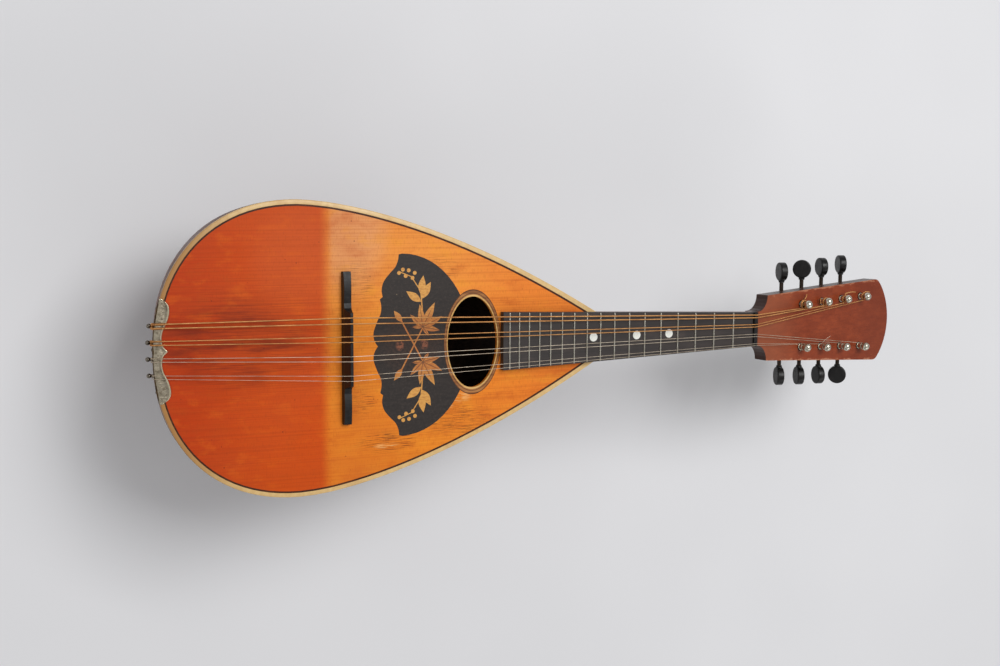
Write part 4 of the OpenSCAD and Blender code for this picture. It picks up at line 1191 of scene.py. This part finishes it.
def winding(i):
    """Points of the winding on a post, in the head's frame, from where the string meets it."""
    k = STRING_POST[i]
    post = post_place(k)
    side = 1 if post.y > 0 else -1
    start = TO_HEAD.inverted() @ Vector((NUT_TOP[0], NUT_Y[i], NUT_TOP[1]))
    gap = Vector((post.x - start.x, post.y - start.y))
    reach = WAIST_R + STRING_R[i] + WIND_GAP
    heading = atan2(gap.y, gap.x) - side * asin(reach / gap.length)
    first = heading - side * pi / 2
    wound = i < 2 * WOUND_COURSES
    turns = 2.25 if wound else 3.25
    pitch = 2.15 * STRING_R[i]
    points = []
    for j in range(int(turns * 24) + 1):
        a = tau * j / 24
        loose = reach + (0.35 * sin(a * 0.7 + k) ** 2 if wound and j > 4 else 0)
        turn = first + side * a
        points.append(Vector((post.x + loose * cos(turn), post.y + loose * sin(turn),
                              WIND_TOP[(k - 1) % SIDE_POSTS] - pitch * a / tau)))
    return points


def coils():
    """The windings and the loose ends, which turn with their posts."""
    for i, k in enumerate(STRING_POST):
        points = winding(i)
        ahead = (points[-1] - points[-2]).normalized()
        end = [points[-1] + ahead] + [post_place(k) + Vector(p) for p in LOOSE_ENDS[k]]
        shape = Shape()
        shape.tube(points[:-1] + curve([points[-1]] + end, 6), STRING_R[i], 12)
        look, slot = string_finish(i // 2)
        shape.make(f"string_winding_{k}", look, slot, f"post_{k}", HEAD, 60)


# ---- the CAD nodes that stay ----

def kept_nodes():
    """Flat or inner pieces take a material only; edges that show are rounded first."""
    # the braces, linings and blocks take the inside wood, darkened as painted shade
    for name, look in (
        ("soundboard", SPRUCE), ("soundboard_braces", INSIDE_WOOD_SHADED), ("rim_linings", INSIDE_WOOD_SHADED),
        ("tail_block", INSIDE_WOOD_SHADED), ("neck_block", INSIDE_WOOD_SHADED), ("pickguard", GUARD),
        ("pickguard_inlay", INLAY), ("position_dots", PEARL),
    ):
        dress(name, look)
    soften("fretboard", 0.35, FRETBOARD)
    soften("head", 0.7, HEAD_WOOD, 3)
    soften("bridge", 0.3, EBONY)
    soften("nut", 0.2, EBONY)
    soften("tuner_plate_bass", 0.2, PLATE_METAL)
    soften("tuner_plate_treble", 0.2, PLATE_METAL)


# ---- stage ----

def stage():
    """A wide pale floor at the height that the object stands on."""
    bpy.ops.mesh.primitive_plane_add(size=40, location=(0, 0, 0))
    floor = bpy.context.object
    floor.name = "floor"
    floor.data.materials.append(floor_paper())


def area_light(name, place, size, power):
    """A rectangular lamp aimed at the middle of the object."""
    data = bpy.data.lights.new(name, "AREA")
    data.shape = "RECTANGLE"
    data.size, data.size_y = size
    data.energy = power
    lamp = bpy.data.objects.new(name, data)
    lamp.location = place
    lamp.rotation_euler = (Vector((0, 0, 0.1)) - Vector(place)).to_track_quat("-Z", "Y").to_euler()
    bpy.context.scene.collection.objects.link(lamp)


def lights():
    """A large key lamp behind the body, weak fill from two sides and an even dim surround."""
    area_light("key_light", (0.5, 1.0, 2.3), (1.2, 1.2), 37)
    area_light("left_light", (-2.3, -0.2, 1.5), (1.6, 1.6), 6)
    area_light("front_light", (1.4, -1.9, 1.7), (2.4, 1.0), 13)
    world = bpy.data.worlds.new("studio")
    world.use_nodes = True
    shade = world.node_tree.nodes["Background"]
    shade.inputs["Color"].default_value = (0.99, 0.99, 1, 1)
    shade.inputs["Strength"].default_value = 0.38
    bpy.context.scene.world = world


def camera():
    """A 47 mm lens above the tail, turned toward the head."""
    data = bpy.data.cameras.new("camera")
    data.sensor_width = 36
    data.lens = 47.2
    lens_end = bpy.data.objects.new("camera", data)
    turn = turned(2.59, "Z") @ turned(24.35, "Y") @ turned(7.07, "X")
    place = BODY @ Vector((-263.1, 109.2, 836.4))
    lens_end.matrix_world = at(*place) @ turn.inverted()
    bpy.context.scene.collection.objects.link(lens_end)
    bpy.context.scene.camera = lens_end
    bpy.context.scene.view_settings.view_transform = "Standard"


camera()
lights()
stage()
kept_nodes()
edging()
rosette()
ribs()
end_clasp()
neck()
frets()
posts()
worms()
buttons()
plate_screws()
tailpiece()
hooks()
nails()
spans()
coils()
